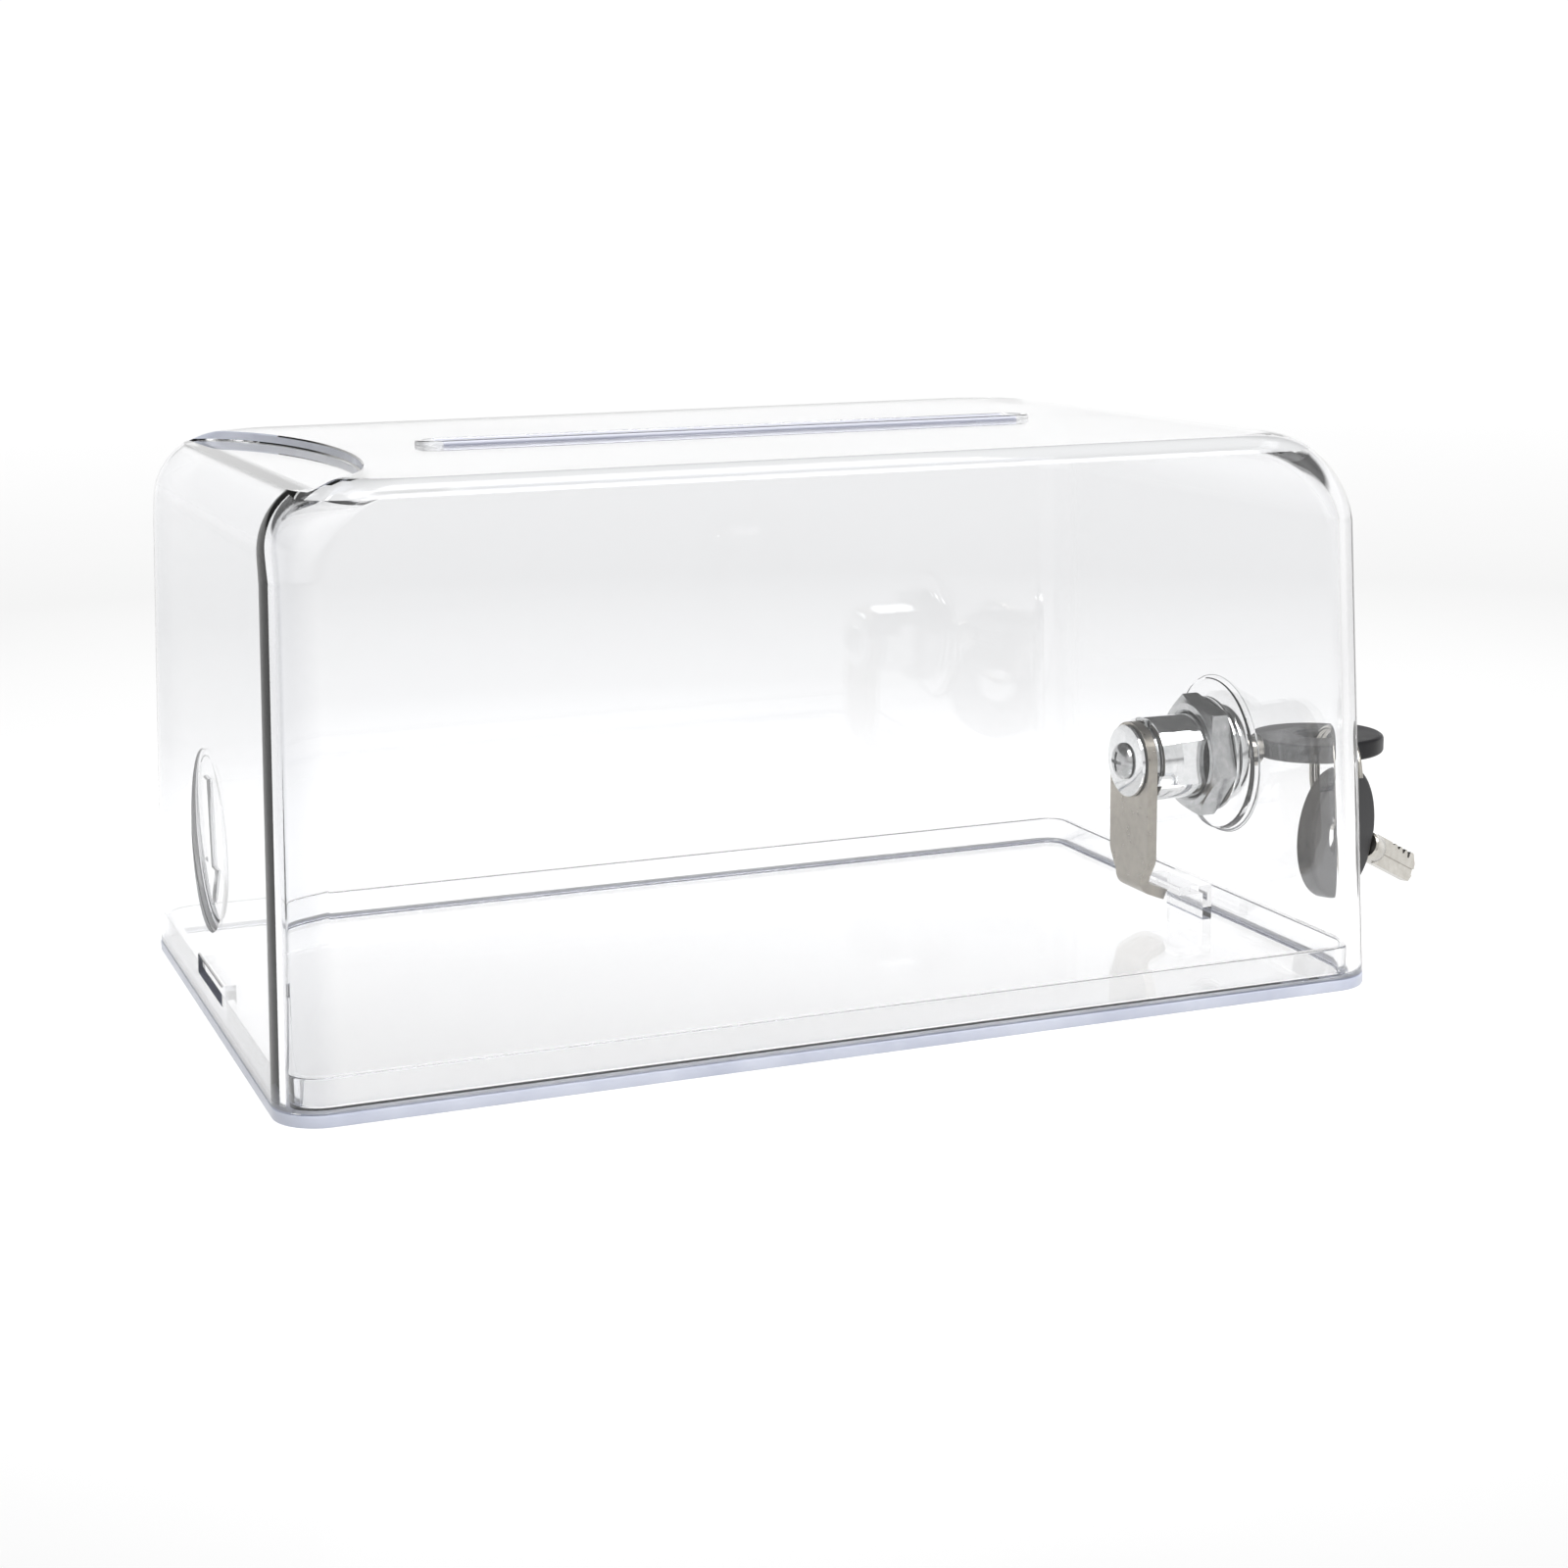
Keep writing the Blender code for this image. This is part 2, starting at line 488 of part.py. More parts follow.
def make_key(prefix, place):
    """A key lying along X with its blade inwards, then moved by place."""
    tip, collar = lock_x(KEY_TIP), (lock_x(COLLAR[0]), lock_x(COLLAR[1]))
    head_x = lock_x(HEAD_START)
    point = [(tip + 0.0018, -BLADE_HALF), (tip, -0.0012), (tip, 0.0012), (tip + 0.0018, BLADE_HALF)]
    edge = []
    for k in range(WAFER_COUNT):
        x = lock_x(WAFER_FIRST + k * WAFER_PITCH)
        depth = BLADE_HALF - 0.0004 * (1 + (k * 3) % 4)
        edge += [(x - 0.0010, BLADE_HALF), (x - 0.0004, depth), (x + 0.0004, depth), (x + 0.0010, BLADE_HALF)]
    root = [(collar[0] + 0.0010, BLADE_HALF), (collar[0] + 0.0010, -BLADE_HALF)]
    edge = [p for p in edge if p[0] > tip + 0.0019]
    outline = [(x, y + LOCK_Y) for x, y in point + edge + root]
    blade = prism(prefix + "key_blade", outline, LOCK_Z - BLADE_T / 2, LOCK_Z + BLADE_T / 2, "Z", NICKEL)
    collar_solid = turned(prefix + "collar", [(collar[0], 0), (collar[0], COLLAR_R - 0.0005),
                                              (collar[0] + 0.0006, COLLAR_R), (collar[1] - 0.0004, COLLAR_R),
                                              (collar[1], COLLAR_R - 0.0004), (collar[1], 0)], segments=20)
    join(blade, collar_solid)
    head = prism(prefix + "key_head", [(x + head_x, y + LOCK_Y) for x, y in head_outline()],
                 LOCK_Z - HEAD_T / 2, LOCK_Z + HEAD_T / 2, "Z", BLACK)
    bevel = head.modifiers.new("edge", "BEVEL")
    bevel.width, bevel.segments, bevel.limit_method = 0.0012, 2, "ANGLE"
    bevel.angle_limit = math.radians(60)
    hole = prism(prefix + "hole", arc(head_x + HOLE_U, LOCK_Y, HOLE_R, 0, 360 - 18, 19),
                 LOCK_Z - 0.004, LOCK_Z + 0.004, "Z")
    cut(head, hole)
    for obj in (blade, collar_solid, head, hole):
        obj.matrix_world = place


def ring_frame():
    """The ring's centre, its normal, and the level direction in its plane."""
    along = Vector((math.sin(RING_TURN), math.cos(RING_TURN), 0.0))
    normal = Vector((math.cos(RING_TURN), -math.sin(RING_TURN), 0.0))
    hole = Vector((lock_x(HEAD_START + HOLE_U), LOCK_Y, LOCK_Z))
    span = math.sqrt(RING_R ** 2 - RING_DROP ** 2)
    return hole - along * span - Vector((0, 0, RING_DROP)), normal, along


def make_ring():
    """Split ring: two turns of wire side by side, with a short step from one to the other."""
    centre, normal, along = ring_frame()
    up = Vector((0, 0, 1))
    step = math.radians(50)
    start, end = step / 2 + 0.06, 4 * math.pi - step / 2 - 0.06
    path = []
    count = 84
    for k in range(count + 1):
        a = start + (end - start) * k / count
        t = min(1.0, max(0.0, (a - 2 * math.pi + step / 2) / step))
        side = RING_PITCH * (t * t * (3 - 2 * t) - 0.5)
        turn = a + math.radians(200)
        path.append(centre + RING_R * (math.cos(turn) * along + math.sin(turn) * up) + side * normal)
    bm = bmesh.new()
    tube(bm, path, WIRE_R, 8)
    finish("key_ring", bm, NICKEL, sharp=60)


def spare_place():
    """Where the spare key hangs: upright, on the ring's lowest point, its blade outwards and down."""
    wire = ring_frame()[0] - Vector((0, 0, RING_R))
    level = math.cos(SPARE_DIP)
    blade_way = Vector((level * math.cos(SPARE_TURN), level * math.sin(SPARE_TURN), -math.sin(SPARE_DIP)))
    face = Vector((-math.sin(SPARE_TURN), math.cos(SPARE_TURN), 0))
    width = face.cross(-blade_way)
    turn = Matrix((-blade_way, width, face)).transposed().to_4x4()
    hole = Vector((lock_x(HEAD_START + HOLE_U), LOCK_Y, LOCK_Z))
    target = wire - Vector((0, 0, SPARE_HANG))
    return Matrix.Translation(target) @ turn @ Matrix.Translation(-hole)


make_base_tray()
make_cover()
make_lock_body()
make_plug()
make_wafers()
make_cam()
make_key("", Matrix.Identity(4))
make_ring()
make_key("spare_", spare_place())
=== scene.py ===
"""Looks of the clear locking donation box: fine clear shells, the chrome cam lock, two keys on a split ring.

Metres, +Z up, +X at the lock end, -Y the long front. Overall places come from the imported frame; the
mouldings, the lock's parts and the keys are built again here with the round edges that catch the light.
"""
import math

import bmesh
import bpy
from mathutils import Matrix, Quaternion, Vector


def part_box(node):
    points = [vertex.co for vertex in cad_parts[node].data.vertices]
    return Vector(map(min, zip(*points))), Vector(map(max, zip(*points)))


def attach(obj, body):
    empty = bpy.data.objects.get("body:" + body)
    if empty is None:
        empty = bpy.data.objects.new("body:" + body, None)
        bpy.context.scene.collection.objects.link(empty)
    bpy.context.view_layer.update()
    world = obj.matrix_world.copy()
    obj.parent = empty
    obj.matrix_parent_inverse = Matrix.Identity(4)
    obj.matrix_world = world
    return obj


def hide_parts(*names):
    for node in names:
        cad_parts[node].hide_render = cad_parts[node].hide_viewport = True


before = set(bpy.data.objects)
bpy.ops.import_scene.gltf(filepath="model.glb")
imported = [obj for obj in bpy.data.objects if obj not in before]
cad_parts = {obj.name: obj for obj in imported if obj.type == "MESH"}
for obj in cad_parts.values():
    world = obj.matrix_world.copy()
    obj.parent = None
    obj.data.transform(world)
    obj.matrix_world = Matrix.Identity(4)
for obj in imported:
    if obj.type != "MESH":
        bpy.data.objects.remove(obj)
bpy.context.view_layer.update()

# ---- places read from the frame --------------------------------------------------------------------
tray_low, tray_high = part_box("base_tray")
cover_low, cover_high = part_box("cover")
housing_low, housing_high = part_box("lock_housing")
cam_low, cam_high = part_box("cam")
nut_low, nut_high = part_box("mounting_nut")
washer_low, washer_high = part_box("nut_washer")

LENGTH = tray_high.x - tray_low.x
DEPTH = tray_high.y - tray_low.y
HOOK_END_X = -LENGTH / 2
RIM_RISE = 0.0010                     # the slot's rim above the flat top
HEIGHT = cover_high.z - RIM_RISE      # of the flat top
COVER_Z = cover_low.z
LOCK_Y = (housing_low.y + housing_high.y) / 2
LOCK_Z = (housing_low.z + housing_high.z) / 2
FLANGE_OUT = 0.0029                   # how far the lock's flange stands out of its seat
SEAT_X = housing_high.x - FLANGE_OUT

# ---- dimensions shared with the CAD ----------------------------------------------------------------
GAP = 0.0003
WALL = 0.0028
DRAFT = math.tan(math.radians(2.1))
CORNER_R = 0.0095
TOP_CORNER_R = 0.014
HOOK_END_R = 0.013
LOCK_END_R = 0.018
FRONT_EDGE_R = 0.0030
BASE_T = COVER_Z - GAP
LIP_INSET = 0.0036
LIP_T = 0.0018
LIP_TOP = 0.0085

SLOT_LENGTH = 0.131
SLOT_WIDTH = 0.0056
SLOT_RIM = 0.0018
SCOOP_DEPTH = 0.0020
SCOOP_X = HOOK_END_X + 0.0125
SCOOP_REACH = 0.0190
SCOOP_HALF = 0.0610
ROUNDEL_R = 0.0180
ROUNDEL_Z = 0.0385
ROUNDEL_X = HOOK_END_X + 0.0023
# the arrow's tip, neck, top, half stem and half barb, at its foot and at its slightly smaller face
ARROW_FOOT = (-0.0130, -0.0050, 0.0125, 0.0022, 0.0062)
ARROW_FACE = (-0.0124, -0.0052, 0.0122, 0.0019, 0.0056)
WINDOW_HALF = 0.0135
WINDOW_Z = (0.0078, 0.0118)
SEAT_R = 0.0175

BARREL_R = 0.0093
BARREL_FLAT = 0.0080
BARREL_END = -0.0197
FLAT_END = -0.0150
NUT_CORNER = 0.0138
WASHER_R = 0.0128
PLUG_R = 0.0062
PLUG_HEAD_R = 0.0074
TANG = 0.0035             # half the width of the plug's square end
CAM_FACE = -0.0211        # the cam's face towards the wall
CAM_HALF = 0.0086
CAM_REACH = 0.0268        # the bend is centred 0.4 mm short of this, below the lock's axis
CAM_BEND_R = 0.0010
CAM_SLOPE = 22            # degrees by which the foot slopes down from level
CAM_TIP_R = 0.0030        # rounding of the foot's two corners
CAM_NECK = (0.0050, 0.0046)       # how far above the bend the plate starts to narrow, and over what length
FOOT_HALF_WIDTH = 0.0055
KEEPER_CLEAR = 0.0004
WAFER_COUNT = 5
WAFER_PITCH = 0.0030
WAFER_T = 0.0008
WAFER_FIRST = -0.0142

KEY_TIP = -0.0157
BLADE_HALF = 0.0034
BLADE_T = 0.0020
COLLAR = (0.0058, 0.0110)
COLLAR_R = 0.0034
HEAD_START = 0.0113
HEAD_LENGTH = 0.0290
HEAD_HALF = 0.0148
HEAD_NECK = 0.0036
HEAD_T = 0.0042
HOLE_U = 0.0155
HOLE_R = 0.0050
RING_R = 0.0112
WIRE_R = 0.0006
RING_PITCH = 0.00135
RING_TURN = math.radians(10)
RING_DROP = 0.0062
SPARE_TURN = math.radians(30)
SPARE_DIP = math.radians(23.5)
SPARE_HANG = 0.0012

# ---- how finely things are built -------------------------------------------------------------------
CORNER_STEPS = 14
END_STEPS = 26
OVAL_STEPS = 72
HEAD_STEPS = 72
HOLE_STEPS = 48
RING_STEPS = 260
WIRE_SIDES = 14
ROUND = 96                # segments of the larger turned pieces
SMALL_ROUND = 64          # and of the smaller ones
SHARP = 28                # edges that turn by more degrees than this stay crisp
QUARTER = [math.radians(15 * k) for k in range(7)]        # angles over a quarter turn

# ---- the clear plastic's figures -------------------------------------------------------------------
PLASTIC_IOR = 1.53
WAVES = 14.0              # slow waves of a moulded wall, per metre
POLISH = 260.0            # patches of more or less polish, per metre


def lock_x(offset):
    """A place along the lock's axis, from its seat in the end wall."""
    return SEAT_X + offset


# ---- materials -------------------------------------------------------------------------------------
def new_material(name):
    mat = bpy.data.materials.new(name)
    mat.use_nodes = True
    return mat, mat.node_tree, mat.node_tree.nodes["Principled BSDF"]


def noise(tree, scale, detail=3.0, stretch=(1.0, 1.0, 1.0)):
    """Noise fixed to the piece; stretch draws it out along an axis. Scale is in features per metre."""
    place = tree.nodes.new("ShaderNodeTexCoord")
    mapping = tree.nodes.new("ShaderNodeMapping")
    mapping.inputs["Scale"].default_value = stretch
    texture = tree.nodes.new("ShaderNodeTexNoise")
    texture.inputs["Scale"].default_value = scale
    texture.inputs["Detail"].default_value = detail
    tree.links.new(place.outputs["Object"], mapping.inputs["Vector"])
    tree.links.new(mapping.outputs["Vector"], texture.inputs["Vector"])
    return texture


def to_range(tree, source, low, high, start=0.3, end=0.7):
    """Maps a texture's values to a range."""
    ranged = tree.nodes.new("ShaderNodeMapRange")
    ranged.inputs["From Min"].default_value = start
    ranged.inputs["From Max"].default_value = end
    ranged.inputs["To Min"].default_value = low
    ranged.inputs["To Max"].default_value = high
    tree.links.new(source, ranged.inputs["Value"])
    return ranged.outputs["Result"]


def tint(tree, source, dark, light, socket):
    """Colours a socket between two tones by a texture's value."""
    ramp = tree.nodes.new("ShaderNodeValToRGB")
    ramp.color_ramp.elements[0].position = 0.32
    ramp.color_ramp.elements[1].position = 0.68
    ramp.color_ramp.elements[0].color = (*dark, 1.0)
    ramp.color_ramp.elements[1].color = (*light, 1.0)
    tree.links.new(source, ramp.inputs["Fac"])
    tree.links.new(ramp.outputs["Color"], socket)


def bump(tree, shader, source, distance, strength=1.0):
    node = tree.nodes.new("ShaderNodeBump")
    node.inputs["Distance"].default_value = distance
    node.inputs["Strength"].default_value = strength
    tree.links.new(source, node.inputs["Height"])
    tree.links.new(node.outputs["Normal"], shader.inputs["Normal"])


def clear_plastic(name, hook_end_shade, colour):
    """Clear moulding, polished, with the slow waves of a moulded wall; the hook end is painted a little
    greyer, as painted shade.
    """
    mat, tree, shader = new_material(name)
    place = tree.nodes.new("ShaderNodeTexCoord")
    split = tree.nodes.new("ShaderNodeSeparateXYZ")
    tree.links.new(place.outputs["Object"], split.inputs["Vector"])
    # painted shade: the base colour greys towards the hook end wall
    along = to_range(tree, split.outputs["X"], 0.0, 1.0, HOOK_END_X + 0.016, HOOK_END_X + 0.003)
    tint(tree, along, colour, hook_end_shade, shader.inputs["Base Color"])
    shader.inputs["Transmission Weight"].default_value = 1.0
    shader.inputs["IOR"].default_value = PLASTIC_IOR
    bump(tree, shader, noise(tree, WAVES, 1.0).outputs["Fac"], 0.00003)
    polish = noise(tree, POLISH)
    tree.links.new(to_range(tree, polish.outputs["Fac"], 0.0, 0.018), shader.inputs["Roughness"])
    return mat


def rounding_glow_plastic():
    """The plastic on its small roundings, painted pale: a painted glow for the light they pass on as a pale,
    soft line.
    """
    mat, tree, shader = new_material("clear_plastic_painted_glow")
    shader.inputs["Base Color"].default_value = (0.82, 0.825, 0.835, 1.0)
    shader.inputs["Transmission Weight"].default_value = 0.5
    shader.inputs["IOR"].default_value = 1.30
    polish = noise(tree, POLISH)
    tree.links.new(to_range(tree, polish.outputs["Fac"], 0.01, 0.05), shader.inputs["Roughness"])
    return mat


def slot_shade_plastic():
    """The slot's rim with painted shade: blue-grey and darkest at its foot, paler towards its top edge."""
    mat, tree, shader = new_material("clear_plastic_slot_shade")
    place = tree.nodes.new("ShaderNodeTexCoord")
    split = tree.nodes.new("ShaderNodeSeparateXYZ")
    tree.links.new(place.outputs["Object"], split.inputs["Vector"])
    # painted shade: darkest at the rim's foot, paler towards its top
    rise = to_range(tree, split.outputs["Z"], 0.0, 1.0, HEIGHT - 0.0002, HEIGHT + RIM_RISE)
    tint(tree, rise, (0.27, 0.28, 0.35), (0.58, 0.59, 0.66), shader.inputs["Base Color"])
    shader.inputs["Transmission Weight"].default_value = 0.25
    shader.inputs["Roughness"].default_value = 0.28
    shader.inputs["IOR"].default_value = PLASTIC_IOR
    return mat


def painted_edge_plastic(name, dark, light, clear):
    """The same plastic where a cut or moulded edge is painted blue-grey: painted light that stands for the
    light led inside the sheet.
    """
    mat, tree, shader = new_material(name)
    fleck = noise(tree, 90.0)
    tint(tree, fleck.outputs["Fac"], dark, light, shader.inputs["Base Color"])
    shader.inputs["Transmission Weight"].default_value = clear
    shader.inputs["Roughness"].default_value = 0.28
    shader.inputs["IOR"].default_value = PLASTIC_IOR
    bump(tree, shader, fleck.outputs["Fac"], 0.00004)
    return mat


def metal(name, dark, light, rough, grain, stretch=(1.0, 1.0, 1.0), depth=0.000004):
    """Metal in two close tones, with a roughness that varies and a fine grain."""
    mat, tree, shader = new_material(name)
    shader.inputs["Metallic"].default_value = 1.0
    patches = noise(tree, 420.0, 4.0)
    tint(tree, patches.outputs["Fac"], dark, light, shader.inputs["Base Color"])
    tree.links.new(to_range(tree, patches.outputs["Fac"], *rough), shader.inputs["Roughness"])
    bump(tree, shader, noise(tree, grain, 2.0, stretch).outputs["Fac"], depth)
    return mat


def black_plastic():
    """Moulded key head: black, half gloss, with a fine leathery grain and paler rubbed patches."""
    mat, tree, shader = new_material("key_plastic")
    rub = noise(tree, 160.0, 4.0)
    tint(tree, rub.outputs["Fac"], (0.010, 0.010, 0.011), (0.022, 0.022, 0.024), shader.inputs["Base Color"])
    tree.links.new(to_range(tree, rub.outputs["Fac"], 0.34, 0.46), shader.inputs["Roughness"])
    shader.inputs["Specular IOR Level"].default_value = 0.2
    bump(tree, shader, noise(tree, 2600.0, 2.0).outputs["Fac"], 0.00002, 0.6)
    return mat


# the first colour is the painted shade at the hook end
CLEAR = clear_plastic("clear_plastic", (0.86, 0.865, 0.88), (0.95, 0.952, 0.958))
CLEAR_TRAY = clear_plastic("clear_plastic_tray", (0.99, 0.99, 0.994), (0.996, 0.996, 0.998))
ROUNDING_GLOW = rounding_glow_plastic()
EDGE_LIGHT = painted_edge_plastic("clear_plastic_edge_light", (0.52, 0.55, 0.66), (0.62, 0.65, 0.75), 0.35)
SLOT_SHADE = slot_shade_plastic()
CHROME = metal("chrome", (0.70, 0.71, 0.71), (0.80, 0.80, 0.80), (0.05, 0.11), 900.0)
NUT_STEEL = metal("nut_steel", (0.42, 0.43, 0.43), (0.54, 0.54, 0.54), (0.12, 0.22), 1500.0)
NICKEL = metal("brushed_nickel", (0.33, 0.305, 0.265), (0.42, 0.39, 0.34), (0.26, 0.38), 5200.0,
               (1.0, 1.0, 0.05), 0.000003)
KEY_NICKEL = metal("key_nickel", (0.44, 0.42, 0.38), (0.54, 0.52, 0.48), (0.14, 0.26), 3800.0,
                   (0.08, 1.0, 1.0), 0.000004)
BRASS = metal("wafer_brass", (0.70, 0.54, 0.26), (0.82, 0.67, 0.38), (0.22, 0.36), 2400.0)
SPRING = metal("spring_steel", (0.44, 0.44, 0.45), (0.56, 0.56, 0.57), (0.2, 0.32), 3000.0)
BLACK = black_plastic()


# ---- mesh helpers ----------------------------------------------------------------------------------
def solid(name, bm, sharp=SHARP):
    """Turn a bmesh into an object with outward faces and smooth shading."""
    bmesh.ops.recalc_face_normals(bm, faces=bm.faces)
    mesh = bpy.data.meshes.new(name)
    bm.to_mesh(mesh)
    bm.free()
    mesh.shade_smooth()
    mesh.set_sharp_from_angle(angle=math.radians(sharp))
    obj = bpy.data.objects.new(name, mesh)
    bpy.context.scene.collection.objects.link(obj)
    return obj


def skin(bm, rings, closed):
    """Faces between successive rings of vertices; closed also joins the last ring to the first."""
    count = len(rings)
    for k in range(count if closed else count - 1):
        lower, upper = rings[k], rings[(k + 1) % count]
        for i in range(len(lower)):
            j = (i + 1) % len(lower)
            unique = list(dict.fromkeys([lower[i], lower[j], upper[j], upper[i]]))
            if len(unique) > 2:
                bm.faces.new(unique)


def arc(cx, cy, radius, start, end, steps):
    """Points along an arc, angles in degrees."""
    angles = [math.radians(start + (end - start) * k / steps) for k in range(steps + 1)]
    return [(cx + radius * math.cos(a), cy + radius * math.sin(a)) for a in angles]


def circle(cx, cy, radius, points):
    return arc(cx, cy, radius, 0, 360 - 360 / points, points - 1)


def turned(name, outline, centre=(LOCK_Y, LOCK_Z), segments=ROUND):
    """Turn an outline of (x, radius) points about an axis along X. Radius 0 closes an end."""
    bm = bmesh.new()
    rings = []
    for x, radius in outline:
        if radius == 0:
            rings.append([bm.verts.new((x, *centre))] * segments)
            continue
        rings.append([bm.verts.new((x, centre[0] + y, centre[1] + z))
                      for y, z in circle(0, 0, radius, segments)])
    skin(bm, rings, closed=outline[0][1] > 0)
    return solid(name, bm)


def loft(name, sections, axis="Z"):
    """Skin level outlines of equal point counts, given as (outline, place along the axis) pairs."""
    place = {"X": lambda p, q, t: (t, p, q),
             "Y": lambda p, q, t: (p, t, q),
             "Z": lambda p, q, t: (p, q, t)}[axis]
    bm = bmesh.new()
    rings = [[bm.verts.new(place(p, q, t)) for p, q in outline] for outline, t in sections]
    skin(bm, rings, closed=False)
    bm.faces.new(rings[0])
    bm.faces.new(rings[-1])
    return solid(name, bm)


def prism(name, outline, low, high, axis="Z"):
    """Extrude a flat outline along an axis. Outline points are the other two axes, in X, Y, Z order."""
    return loft(name, [(outline, low), (outline, high)], axis)


def block(name, low, high):
    outline = [(low[0], low[1]), (high[0], low[1]), (high[0], high[1]), (low[0], high[1])]
    return prism(name, outline, low[2], high[2])


def apply_modifiers(obj):
    """Replace an object's mesh with what its modifiers make of it."""
    graph = bpy.context.evaluated_depsgraph_get()
    mesh = bpy.data.meshes.new_from_object(obj.evaluated_get(graph))
    obj.modifiers.clear()
    obj.data = mesh


def combine(target, operation, helpers):
    """Cut or join helper solids with Booleans, apply them and remove the helpers."""
    for helper in helpers:
        modifier = target.modifiers.new(helper.name, "BOOLEAN")
        modifier.operation = operation
        modifier.object = helper
        modifier.solver = "EXACT"
    apply_modifiers(target)
    for helper in helpers:
        bpy.data.objects.remove(helper, do_unlink=True)
    target.data.shade_smooth()
    target.data.set_sharp_from_angle(angle=math.radians(SHARP))


def cut(target, *helpers):
    combine(target, "DIFFERENCE", helpers)


def join(target, *helpers):
    combine(target, "UNION", helpers)


def round_edges(obj, width, segments=3, angle=35):
    """Round the sharp edges, so that they catch the light as real edges do."""
    bevel = obj.modifiers.new("round_edges", "BEVEL")
    bevel.width = width
    bevel.segments = segments
    bevel.limit_method = "ANGLE"
    bevel.angle_limit = math.radians(angle)
    bevel.harden_normals = True


def even_shading(obj):
    """Let the large faces set the shading at their edges."""
    weighted = obj.modifiers.new("even_shading", "WEIGHTED_NORMAL")
    weighted.keep_sharp = True


def hand_over(obj, body, slot, material, *nodes):
    """Give a finished piece its body and its material, and hide the CAD nodes that it stands for. The slot
    argument is not used.
    """
    obj.data.materials.clear()
    obj.data.materials.append(material)
    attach(obj, body)
    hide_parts(*nodes)


# ---- clear cover -----------------------------------------------------------------------------------
def level_ring(low_x, high_x, half_y, radius):
    """A rounded rectangle from low_x to high_x, anticlockwise."""
    corners = ((high_x - radius, 1, 0), (low_x + radius, 1, 90), (low_x + radius, -1, 180),
               (high_x - radius, -1, 270))
    points = []
    for x, side, start in corners:
        points += arc(x, side * (half_y - radius), radius, start, start + 90, CORNER_STEPS)
    return points


def rounding(radius, top, z):
    """How far a wall has come in at height z, where it turns into the top on this radius."""
    rise = max(0.0, z - (top - radius))
    return radius - math.sqrt(max(0.0, radius ** 2 - rise ** 2))


def cover_levels(inset):
    """(outline, height) pairs from the lower edge to the top; inset 0 is outside, WALL is inside."""
    top = HEIGHT - inset
    hook_r, lock_r = HOOK_END_R - inset, LOCK_END_R - inset
    edge_r = max(FRONT_EDGE_R - inset, 0.0003)
    start = top - lock_r
    levels = [COVER_Z, (COVER_Z + start) / 2]
    levels += [start + lock_r * math.sin(math.pi / 2 * k / END_STEPS) for k in range(END_STEPS + 1)]
    levels += [top - edge_r * share for share in (1.0, 0.6, 0.3)]
    pairs = []
    for z in sorted(levels):
        half_x = LENGTH / 2 - inset - z * DRAFT
        half_y = DEPTH / 2 - inset - z * DRAFT - rounding(edge_r, top, z)
        radius = CORNER_R + (TOP_CORNER_R - CORNER_R) * max(0.0, z - start) / lock_r - inset
        pairs.append((level_ring(rounding(hook_r, top, z) - half_x, half_x - rounding(lock_r, top, z),
                                 half_y, radius), z))
    return pairs


def half_oval(reach, half, start_x):
    """The scoop in plan: straight at start_x, bulging towards +X from SCOOP_X."""
    curve = [(SCOOP_X + reach * math.cos(a), half * math.sin(a))
             for a in [math.radians(-90 + 180 * k / OVAL_STEPS) for k in range(OVAL_STEPS + 1)]]
    curve = [(x, y) for x, y in curve if x > start_x]
    return curve + [(start_x, half), (start_x, -half)]


def slot_outline(widen=0.0):
    radius = SLOT_WIDTH / 2 + widen
    half = SLOT_LENGTH / 2 - SLOT_WIDTH / 2
    return arc(half, 0, radius, -90, 90, 16) + arc(-half, 0, radius, 90, 270, 16)


def arrow_outline(tip, neck, top, stem, barb):
    """A plain arrow pointing down, in Y and Z, round the middle of the recess."""
    outline = [(0, tip), (barb, neck), (stem, neck), (stem, top), (-stem, top), (-stem, neck), (-barb, neck)]
    return [(y, z + ROUNDEL_Z) for y, z in outline]


def barrel_outline(radius, flat):
    """Section of the lock's barrel: round, with a flat at the front and one at the back."""
    side = math.degrees(math.acos(flat / radius))
    outline = arc(0, 0, radius, side, 180 - side, 20) + arc(0, 0, radius, 180 + side, 360 - side, 20)
    return [(y + LOCK_Y, z + LOCK_Z) for y, z in outline]


def dish(x_out, x_floor, radius, lip, floor_r):
    """Profile of a round recess: a rounded lip, then a small fillet into the flat floor."""
    step = 1 if x_floor > x_out else -1
    mouth = [(x_out - step * 0.004, 0), (x_out - step * 0.004, radius + lip * 3)]
    lip_arc = [(x_out + step * lip * (1 - math.cos(a)) - step * lip * 0.2, radius + lip * (1 - math.sin(a)))
               for a in QUARTER]
    fillet = [(x_floor - step * floor_r * (1 - math.sin(a)), radius - floor_r * (1 - math.cos(a)))
              for a in QUARTER]
    return mouth + lip_arc + fillet + [(x_floor, 0)]


